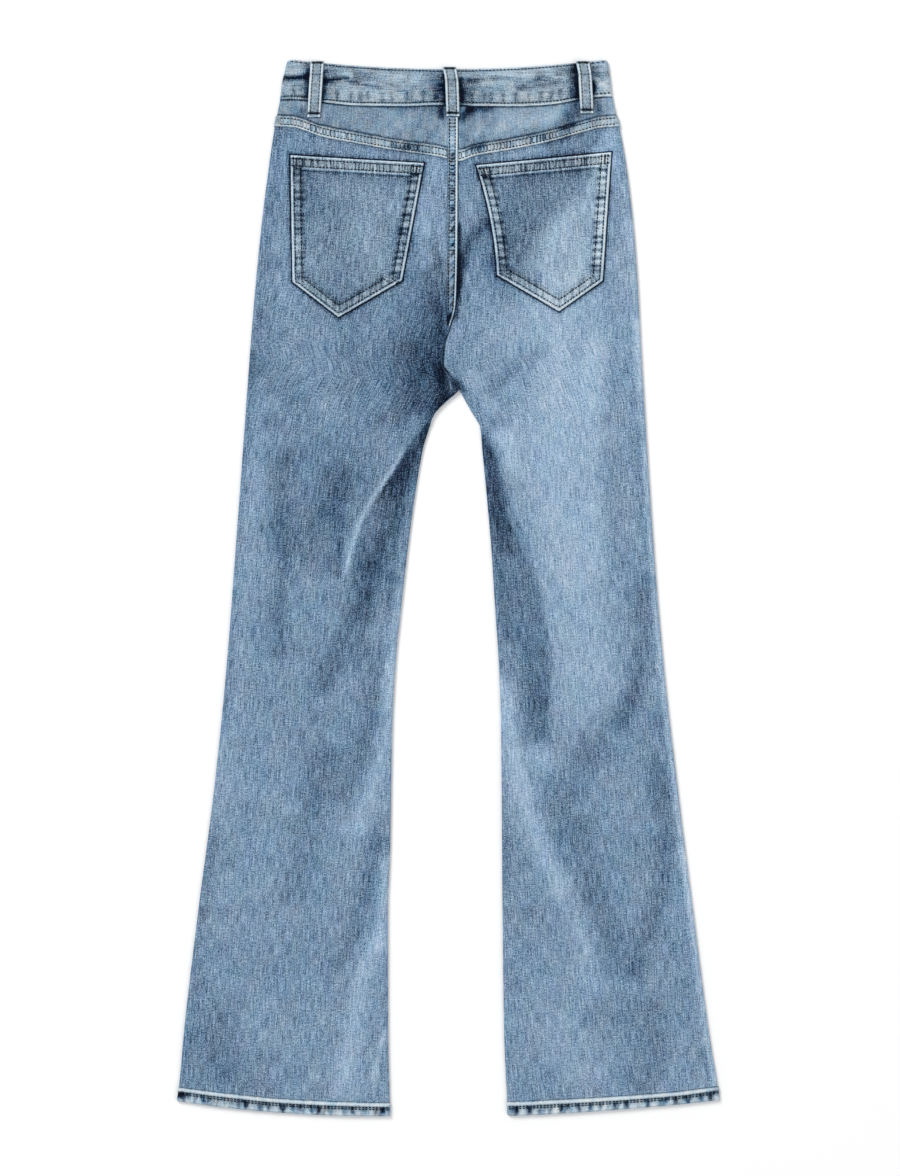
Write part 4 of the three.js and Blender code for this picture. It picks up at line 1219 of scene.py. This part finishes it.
def pocket_surface(pocket, lay):
    x, down = lay.flat_x, lay.down
    rim, mouth, around = pocket.rim(x, down), pocket.mouth(x, down), pocket.around(x, down)
    edge = np.minimum(rim, mouth)
    border = 1 - smoothstep(np.minimum(rim, mouth - POCKET_HEM + 10.5), 10.3, 12)
    rows = sum(ridge(rim - row, 0.8) for row in RIM_ROWS)
    mouth_rows = sum(ridge(mouth - row, 0.8) for row in MOUTH_ROWS) * (rim > 0)
    below = mouth > 12
    in_rim = smoothstep(rim, 2.4, 3.6) * (1 - smoothstep(rim, 10, 16)) * below
    in_hem = smoothstep(mouth, 2.5, 4) * (1 - smoothstep(mouth, 11, 12.5)) * (rim > 4)
    seed = 41 if pocket.name == "pocket_left" else 43
    pull = ticks(around, 7.5, 1.9, seed) * in_rim
    ribs = ticks(x, 3.2, 0.8, seed + 1) * in_hem
    lift = SEAM_GAP + CLOTH + 0.55 * border + 0.15 * value_noise(x, down, 24, seed)
    lift = lift - 0.13 * rows - 0.13 * mouth_rows - 0.3 * pull - 0.12 * ribs
    lift = lift * (1 - 0.8 * rolled_off(edge, 1.6))
    lift = np.where(edge < 0, 0.25, lift)
    tone = wash_and_painted_light(x, down) - 0.06 + 0.08 * value_noise(x, down, 20, seed + 2)
    tone = tone + 1.25 * ridge(edge - 1.2, 0.9) - 0.2 * rows * below - 0.2 * mouth_rows
    upright = 1 - 0.45 * smoothstep(down, pocket.low_down - 12, pocket.low_down + 4)
    upright = upright + 0.45 * smoothstep(x - pocket.right(down), -17, -12) * (upright > 0.9)
    tone = tone - 1.1 * pull * upright + 0.25 * in_rim * (rim < 10) - 1.25 * ribs + 0.3 * in_hem
    # Painted shade under the hem and just inside the raised rim.
    shade = smoothstep(mouth, 14, 15) * (1 - smoothstep(mouth, 15, 30)) + 0.8 * ridge(rim - 12, 3) * below
    tone = tone - 0.22 * shade
    side = np.minimum(x - pocket.left(down), pocket.right(down) - x)
    corner = np.hypot(side - 7, mouth - 7.5)
    tone = tone + 0.45 * ridge(corner, 3.4) - 0.9 * ridge(corner - 6, 1.1) * (mouth > 2)
    # The pale line at the hem's edge is wear; the dark line just below it is painted shadow.
    tone = tone + 0.6 * ridge(mouth - 12.9, 0.9) * (rim > 8) - 0.6 * ridge(mouth - 15, 1.1) * (rim > 10)
    # The dark skirt round the patch is its ditch: unfaded blue, with painted shadow under the rim.
    tone = tone - 1.8 * (1 - smoothstep(edge, -0.2, 0.5))
    faded = 0.2 + 0.7 * np.maximum(in_hem, 0.6 * in_rim) + 0.4 * ridge(edge - 1.2, 1.2)
    return lift, tone, faded


for pocket in pockets:
    lay = Lay(
        moved(pocket.left, -SHADED_DITCH), moved(pocket.right, SHADED_DITCH), moved(pocket.top, -SHADED_DITCH),
        moved(pocket.bottom, SHADED_DITCH), step=1.0,
    )
    lift, tone, faded = pocket_surface(pocket, lay)
    side = pocket.name.split("_")[1]
    patch = make_sheet(f"denim_{pocket.name}", lay.points(lift), tone, LEG_DENIM, 0.8, faded=faded)
    declare(patch, [pocket.name], flat_cut(lay))

# %% [markdown]
# ## Hems
# The hem is turned up twice and stitched near its upper edge. The turned cloth creeps along as
# it is sewn, so washing it makes the slanting pale and dark patches that are called roping.

# %% Hems
HEM_ROWS = (5.2, 7.4)


def roping(x, from_top, seed):
    """Slanting hollows along a hem, 0 to 1."""
    slant = x + 0.35 * from_top
    return np.maximum(ticks(slant, 10.5, 1.8, seed), 0.8 * ticks(slant, 17, 2.6, seed + 5))


HEM_CORNERS = table(
    "tone wide path",
    (-0.8, 3, [(-277, 1054), (-272, 1056)]),
    (0.3, 9, [(135, 1068), (180, 1066)]),
    (-0.6, 3, [(268, 1052), (274, 1053)]),
)


def hem_edges(side, seam, turn):
    edges = half(side, seam, turn)

    def bottom(x):
        down = hem_bottom(x)
        return down - corner_cut(np.minimum(x - edges["left"](down), edges["right"](down) - x))

    return edges, bottom


for side in ("left", "right"):
    edges, bottom = hem_edges(side, seat_seam, seat_turn)
    lay = Lay(**edges, top=moved(hem_top, HALF_GAP), bottom=bottom, step=0.8)
    x, top, foot = lay.flat_x, lay.from_top, lay.from_bottom
    seed = 51 if side == "left" else 57
    rope = roping(x, top, seed) * smoothstep(top, 4.5, 7.5)
    lift = STEP_UP + 0.35 * ridge(top - 2.6, 1.6) - 0.4 * rope - 0.25 * ridge(top - 5.6, 0.8)
    lift = lift - EDGE_ROLL * rolled_off(foot, EDGE_ROUND) - 0.4 * ridge(top, 0.8)
    pale = ticks(x + 0.2 * top, 12.5, 3.4, seed + 7) * smoothstep(top, 5, 8)
    tone = 0.95 * ridge(top - 2.4, 1.4) + 0.12 - 0.25 * ridge(top - 6, 1.0) - 0.7 * ridge(top, 0.7)
    dark = ticks(x - 0.2 * top, 11, 2.5, seed + 9) * smoothstep(top, 4, 6) * (1 - smoothstep(top, 11, 15))
    tone = tone - 0.9 * rope * (1 - 0.6 * pale) + 0.7 * pale - 1.1 * dark
    tone = tone + 0.4 * ridge(foot - 2, 2) + marked(HEM_CORNERS, x, lay.down)
    hem = make_sheet(
        f"denim_hem_back_{side}", lay.points(lift), tone, SEAM_DENIM, DOUBLE,
        faded=0.55 + 0.45 * pale + 0.2 * ridge(top - 2.4, 1.6) - 0.4 * dark,
    )
    declare(hem, [f"hem_back_{side}"], flat_cut(lay, 1))
    edges, bottom = hem_edges(side, front_seam, front_turn)
    lay = Lay(**edges, top=moved(hem_top, HALF_GAP), bottom=bottom, step=2.5)
    tone = 0.2 - 0.7 * roping(lay.flat_x, lay.from_top, seed + 2) + 0.3 * ridge(lay.from_bottom, 2)
    hem = make_sheet(
        f"denim_hem_front_{side}", lay.points(up=-1, height=on_table), tone, PLAIN_DENIM,
        DOUBLE, up=-1,
    )
    declare(hem, [f"hem_front_{side}"], flat_cut(lay, 1))

# %% [markdown]
# ## Belt loops
# A belt loop is a narrow strip, folded so that its edges are thick. It arches over the waistband
# and is tacked down at both ends, and its edges are the palest cloth on the garment.

# %% Belt loops
LOOPS = table(
    "name top foot bend",
    ("belt_loop_left", (-134.3, 2.2), (-138, 59.5), 0),
    ("belt_loop_middle", (2.4, 8.2), (4, 58.6), 2.6),
    ("belt_loop_right", (137.8, 2.2), (140.7, 55.6), 2),
)
TACK_SHARES = (0.93, 0.035)
ARCH = table(
    "share lift",
    (0, 0.9), (0.08, 1.5), (0.3, 2.1), (0.55, 2.2), (0.76, 1.8), (0.88, 0.9), (0.94, 0.3), (1, 0.3),
)
arch = curve(ARCH, "share", "lift")
LOOP_ROWS = (3.1, 10.9)


def band_step(x, down):
    return STEP_UP * (1 - smoothstep(down, band_seam(x) - 1, band_seam(x) + 4))


def loop_middle(row):
    """The middle of a loop, which bends a little to the left above the waistband's middle."""
    straight = line_through(row["top"], row["foot"], 1, 0)
    bent = row["top"][1] + np.array([-6, 17])
    return lambda down: straight(down) - row["bend"] * (1 - smoothstep(down, *bent))


def loop_lift(across, share, x, down):
    """Height of a loop's upper side over the cloth."""
    grooves = sum(ridge(across - r, 0.8) for r in LOOP_ROWS)
    folded = 0.35 * (ridge(across - 1.6, 1.3) + ridge(across - LOOP_WIDTH + 1.6, 1.3))
    corners = 0.7 * (ridge(across, 0.5) + ridge(across - LOOP_WIDTH, 0.5))
    tack = 0.25 * ridge((share - 0.93) * 56, 1.6)
    return arch(share) + band_step(x, down) + 1.3 + folded - 0.2 * grooves - corners - tack


for row in LOOPS:
    middle = loop_middle(row)
    top, foot = row["top"][1], row["foot"][1]
    lay = Lay(
        moved(middle, -LOOP_WIDTH / 2), moved(middle, LOOP_WIDTH / 2), level(top), level(foot),
        step=0.7,
    )
    across = lay.from_left
    lift = loop_lift(across, lay.share, lay.flat_x, lay.down)
    tone = 0.12 + 0.95 * (ridge(across - 1.4, 1.1) + ridge(across - LOOP_WIDTH + 1.4, 1.1))
    tone = tone - 0.3 * sum(ridge(across - r, 0.9) for r in LOOP_ROWS)
    tone = tone - 0.45 * ticks(lay.down, 3.2, 0.8, 62) * ridge(across - 7, 3.6)
    tone = tone - 0.8 * ridge((lay.share - 0.93) * 56, 1.8) + 0.4 * ridge(lay.from_bottom - 0.8, 0.8)
    tone = tone - 0.35 * ridge(lay.from_top - 14, 2) + 0.12 * value_noise(lay.flat_x, lay.down, 6, 61)
    # Painted shadow: dark lines along the loop's sides and at its foot, where it stands over the band.
    tone = tone - 1.3 * (ridge(across, 0.4) + ridge(across - LOOP_WIDTH, 0.4))
    tone = tone - 0.9 * ridge(lay.from_bottom, 0.5)
    loop = make_sheet(f"denim_{row['name']}", lay.points(lift), tone, SEAM_DENIM, 1.3, faded=0.8)
    declare(loop, [row["name"]], flat_cut(lay, 0))

# %% [markdown]
# ## Stitches
# The thread is a dark blue-grey. Each seam is a path over the cloth, and Geometry Nodes set a
# short arched thread at every pitch along it. The same tree makes the bar tacks at the ends of
# the belt loops and at the pocket mouths: there the threads lie side by side, across the path.

# %% The stitch tree
def stitch_tree():
    tree = bpy.data.node_groups.new("stitches_along_a_path", "GeometryNodeTree")
    face = tree.interface
    face.new_socket("Path", in_out="INPUT", socket_type="NodeSocketGeometry")
    for name in ("Pitch", "Length", "Radius", "Rise", "Turn"):
        face.new_socket(name, in_out="INPUT", socket_type="NodeSocketFloat")
    face.new_socket("Seed", in_out="INPUT", socket_type="NodeSocketInt")
    face.new_socket("Thread", in_out="INPUT", socket_type="NodeSocketMaterial")
    face.new_socket("Stitches", in_out="OUTPUT", socket_type="NodeSocketGeometry")
    given = tree.nodes.new("NodeGroupInput").outputs
    made = tree.nodes.new("NodeGroupOutput").inputs
    new = tree.nodes.new

    to_curve = new("GeometryNodeMeshToCurve")
    along = new("GeometryNodeCurveToPoints")
    along.mode = "LENGTH"
    link(tree, given["Path"], to_curve.inputs["Mesh"])
    link(tree, to_curve.outputs["Curve"], along.inputs["Curve"])
    link(tree, given["Pitch"], along.inputs["Length"])

    half_length = math_node(tree, "MULTIPLY", given["Length"], 0.5)
    ends = [new("ShaderNodeCombineXYZ") for _ in range(3)]
    link(tree, math_node(tree, "MULTIPLY", half_length, -1.0), ends[0].inputs["X"])
    link(tree, given["Rise"], ends[1].inputs["Z"])
    link(tree, half_length, ends[2].inputs["X"])
    bow = new("GeometryNodeCurveQuadraticBezier")
    bow.inputs["Resolution"].default_value = 4
    for end, socket in zip(ends, ("Start", "Middle", "End")):
        link(tree, end.outputs[0], bow.inputs[socket])
    ring = new("GeometryNodeCurvePrimitiveCircle")
    ring.inputs["Resolution"].default_value = 5
    link(tree, given["Radius"], ring.inputs["Radius"])
    thread = new("GeometryNodeCurveToMesh")
    thread.inputs["Fill Caps"].default_value = True
    link(tree, bow.outputs[0], thread.inputs["Curve"])
    link(tree, ring.outputs["Curve"], thread.inputs["Profile Curve"])

    jitter = new("FunctionNodeRandomValue")
    jitter.data_type = "FLOAT"
    low, high = [s for s in jitter.inputs if s.type == "VALUE" and s.enabled][:2]
    low.default_value, high.default_value = -0.09, 0.09
    link(tree, given["Seed"], jitter.inputs["Seed"])
    drawn = [s for s in jitter.outputs if s.type == "VALUE" and s.enabled][0]
    yaw = math_node(tree, "ADD", drawn, given["Turn"])
    spin = new("ShaderNodeCombineXYZ")
    link(tree, yaw, spin.inputs["Z"])
    facing = new("FunctionNodeAlignRotationToVector")
    facing.axis = "X"
    link(tree, along.outputs["Tangent"], facing.inputs["Vector"])
    turned = new("FunctionNodeRotateRotation")
    turned.rotation_space = "LOCAL"
    as_turn = new("FunctionNodeEulerToRotation")
    link(tree, spin.outputs[0], as_turn.inputs["Euler"])
    link(tree, facing.outputs["Rotation"], turned.inputs["Rotation"])
    link(tree, as_turn.outputs["Rotation"], turned.inputs["Rotate By"])

    copies = new("GeometryNodeInstanceOnPoints")
    link(tree, along.outputs["Points"], copies.inputs["Points"])
    link(tree, thread.outputs["Mesh"], copies.inputs["Instance"])
    link(tree, turned.outputs["Rotation"], copies.inputs["Rotation"])
    real = new("GeometryNodeRealizeInstances")
    dyed = new("GeometryNodeSetMaterial")
    link(tree, copies.outputs["Instances"], real.inputs["Geometry"])
    link(tree, real.outputs["Geometry"], dyed.inputs["Geometry"])
    link(tree, given["Thread"], dyed.inputs["Material"])
    link(tree, dyed.outputs["Geometry"], made["Stitches"])
    return tree


STITCH_TREE = stitch_tree()


# %% Thread
def thread_material():
    """Twisted cotton thread, dark, with paler rubbed places."""
    material, tree, surface = new_material("thread_dark")
    colours = (0.45, (6, 13, 24)), (0.8, (36, 50, 68))
    worn, where = rubbed_colour(tree, surface, 240.0, 2.0, *colours)
    surface.inputs["Roughness"].default_value = 0.8
    surface.inputs["Specular IOR Level"].default_value = 0.05
    ply = add_node(tree, "ShaderNodeTexNoise", scale=2600.0, detail=1.0)
    link(tree, where, ply.inputs["Vector"])
    add_relief(tree, surface, ply.outputs["Fac"], strength=0.4, distance=0.0002)
    return material


THREAD = thread_material()


def sew(name, lines, pitch=3.5, length=2.0, radius=0.56, rise=0.65, turn=0.0, seed=1):
    """One piece with all the stitches along some lines, each an array of x, down and z."""
    mesh = bpy.data.meshes.new(name)
    points, edges = [], []
    for line in lines:
        start = len(points)
        points += place(*np.array(line, float).T).tolist()
        edges += [(k, k + 1) for k in range(start, len(points) - 1)]
    mesh.from_pydata(points, edges, [])
    seam = add_object(name, mesh)
    modifier = seam.modifiers.new("stitches", "NODES")
    modifier.node_group = STITCH_TREE
    sizes = {
        "Pitch": pitch / 1000, "Length": length / 1000, "Radius": radius / 1000,
        "Rise": rise / 1000, "Turn": turn, "Seed": seed, "Thread": THREAD,
    }
    for item in STITCH_TREE.interface.items_tree:
        if item.item_type == "SOCKET" and item.in_out == "INPUT" and item.name in sizes:
            modifier[item.identifier] = sizes[item.name]
    threads = keep_shape(seam)
    threads.shade_smooth()
    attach(seam, "root")
    print(f"{name}: {len(threads.polygons)} faces")


# %% Lines to sew
def on_cloth(x, down, lift):
    """A line on the back, lifted off its outer surface."""
    x, down = np.broadcast_arrays(np.asarray(x, float), np.asarray(down, float))
    return np.stack([x, down, cloth_height(x, down) + lift], axis=1)


def span(start, stop, step=4.0):
    return np.linspace(start, stop, max(2, round(abs(stop - start) / step) + 1))


def between_loops(start, stop):
    """Stretches of the waistband that no belt loop covers."""
    stops = [start]
    for row in LOOPS:
        stops += [row["foot"][0] - 9, row["foot"][0] + 6]
    stops.append(stop)
    return list(zip(stops[::2], stops[1::2]))


def waistband_lines():
    lines = []
    for start, stop in between_loops(-160, 157):
        x = span(start, stop)
        lines.append(on_cloth(x, back_waist(x) + 2.2, STEP_UP + 0.2))
    for start, stop in between_loops(-168, 163):
        x = span(start, stop)
        lines.append(on_cloth(x, band_seam(x) - 3.8, STEP_UP + 0.2))
    return lines


def yoke_lines():
    lines = []
    for start, stop in ((-171, -3), (11, 168)):
        x = span(start, stop)
        lines += [on_cloth(x, yoke_seam(x) + across + 0.3, 1.0) for across in YOKE_ROWS]
    return lines


def seat_lines():
    down = span(62, 255)
    fade = 0.25 + 0.75 * seat_fade(down)
    return [on_cloth(x, down, 1.05 * fade) for x in (seat_left(down) + 1.8, seat_seam(down) - 3.3)]


def pocket_lines(pocket):
    lines = []
    for inset in RIM_ROWS:
        low_left = [pocket.left(d) + inset for d in span(pocket.top_down + 4, pocket.low_down)]
        downs_left = span(pocket.top_down + 4, pocket.low_down)
        downs_right = span(pocket.low_down + 2, float(pocket.top(pocket.right(100.0))) + 4)
        foot = span(pocket.left(pocket.low_down) + inset, pocket.right(pocket.low_down) - inset)
        foot_down = pocket.bottom(foot) - inset / 0.82
        kept = foot_down > pocket.low_down - 0.4 * inset
        x = np.r_[low_left, foot[kept], pocket.right(downs_right) - inset]
        down = np.r_[downs_left, foot_down[kept], downs_right]
        lines.append(on_cloth(x, down, 1.92))
    for below in MOUTH_ROWS:
        x = span(pocket.left(pocket.top_down + below) + 2, pocket.right(pocket.top_down + below) - 2)
        lines.append(on_cloth(x, pocket.top(x) + below, 1.92))
    return lines


def hem_lines():
    lines = []
    for start, stop in ((-271, -63), (62, 270)):
        x = span(start, stop)
        lines += [on_cloth(x, hem_top(x) + below, STEP_UP + 0.15) for below in HEM_ROWS]
    return lines


def loop_lines():
    lines = []
    for row in LOOPS:
        share = np.linspace(0.05, 0.88, 16)
        down = row["top"][1] + share * (row["foot"][1] - row["top"][1])
        for across in LOOP_ROWS:
            x = loop_middle(row)(down) - LOOP_WIDTH / 2 + across
            lines.append(on_cloth(x, down, loop_lift(across, share, x, down) + 0.05))
    return lines


sew("stitches_waistband", waistband_lines(), seed=2)
sew("stitches_yoke_seams", yoke_lines(), seed=3)
sew("stitches_seat_seam", seat_lines(), seed=4)
sew("stitches_pockets", pocket_lines(pockets[0]) + pocket_lines(pockets[1]), seed=5)
sew("stitches_hems", hem_lines(), seed=6)
sew("stitches_belt_loops", loop_lines(), radius=0.42, seed=7)

# %% Bar tacks
def tack_lines():
    lines = []
    for row in LOOPS:
        for share in TACK_SHARES:
            down = row["top"][1] + share * (row["foot"][1] - row["top"][1])
            x = loop_middle(row)(down) + np.array([-5.6, 0, 5.6])
            across = np.array([1.4, 7, 12.6])
            lines.append(on_cloth(x, down, loop_lift(across, share, x, down) + 0.15))
    for pocket in pockets:
        for edge, inward in ((pocket.left, 1), (pocket.right, -1)):
            down = pocket.top(edge(pocket.top_down)) + np.array([3.0, 7.5, 12.0])
            lines.append(on_cloth(edge(down) + inward * 6.5, down, 1.95))
    return lines


sew("tacks", tack_lines(), pitch=0.75, length=2.1, radius=0.3, rise=0.3, turn=math.pi / 2, seed=8)

# %% [markdown]
# ## Button
# The waist button lies under the front waistband, out of the picture. The CAD solid has its
# shape, so it keeps it, and gets a dull metal with rubbed, paler places.

# %% Button finish
def old_metal():
    material, tree, surface = new_material("old_metal")
    colours = (0.35, (86, 76, 62)), (0.7, (156, 142, 118))
    rubbed, _ = rubbed_colour(tree, surface, 420.0, 4.0, *colours)
    link(tree, add_scaled(tree, 0.6, rubbed, -0.3), surface.inputs["Roughness"])
    surface.inputs["Metallic"].default_value = 1.0
    add_relief(tree, surface, rubbed, strength=0.15, distance=0.0002)
    return material


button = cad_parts["button"]
button.data.materials.clear()
button.data.materials.append(old_metal())
print("button finish:", button.data.materials[0].name)

# %% [markdown]
# ## Table, light and camera
# The jeans are seen from straight above, so the camera looks down, far enough away that little
# perspective shows. One large soft light stands beyond the waist on the left, where it models
# the creases. A weaker one stands opposite, and with the pale surroundings it fills the shadows.

# %% Floor
FLOOR_REACH = 4.0


def pale_floor():
    mesh = bpy.data.meshes.new("floor")
    corners = [(a * FLOOR_REACH, b * FLOOR_REACH, 0) for a, b in ((-1, -1), (1, -1), (1, 1), (-1, 1))]
    mesh.from_pydata(corners, [], [(0, 1, 2, 3)])
    material, _, surface = new_material("pale_floor")
    surface.inputs["Base Color"].default_value = (0.96, 0.96, 0.96, 1)
    surface.inputs["Roughness"].default_value = 0.9
    mesh.materials.append(material)
    add_object("floor", mesh)


pale_floor()


# %% Lights
def soft_light(name, place_at, power, size):
    light = bpy.data.lights.new(name, "AREA")
    light.energy, light.size = power, size
    lamp = add_object(name, light)
    lamp.location = place_at
    direction = np.array(place_at) * -1
    lamp.rotation_mode = "QUATERNION"
    lamp.rotation_quaternion = Vector(direction.tolist()).to_track_quat("-Z", "Y")


soft_light("key", (-3.2, 4.0, 4.6), power=300, size=2.6)
soft_light("fill", (3.6, -2.8, 5.0), power=90, size=4.0)
world = bpy.data.worlds.new("studio")
world.use_nodes = True
surroundings = world.node_tree.nodes["Background"].inputs
surroundings["Color"].default_value = (1, 1, 1, 1)
surroundings["Strength"].default_value = 0.55
bpy.context.scene.world = world
bpy.context.scene.view_settings.view_transform = "Standard"

# %% Camera
IMAGE = (900, 1176)
MM_PER_PIXEL = 1080 / 1058.5
PICTURE_MIDDLE = (0.0016, 0.0002)
CLOTH_TOP = 0.005
camera = bpy.data.cameras.new("camera")
camera.lens = 85
camera.sensor_width = 36
view_height = IMAGE[1] * MM_PER_PIXEL / 1000
eye = add_object("camera", camera)
eye.location = (*PICTURE_MIDDLE, CLOTH_TOP + view_height * camera.lens / camera.sensor_width)
bpy.context.scene.camera = eye
print("camera height in metres:", round(eye.location.z, 3))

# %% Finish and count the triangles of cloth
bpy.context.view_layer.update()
triangles = sum(len(p.data.polygons) * 2 for p in sheets)
print("about", triangles, "triangles of cloth")
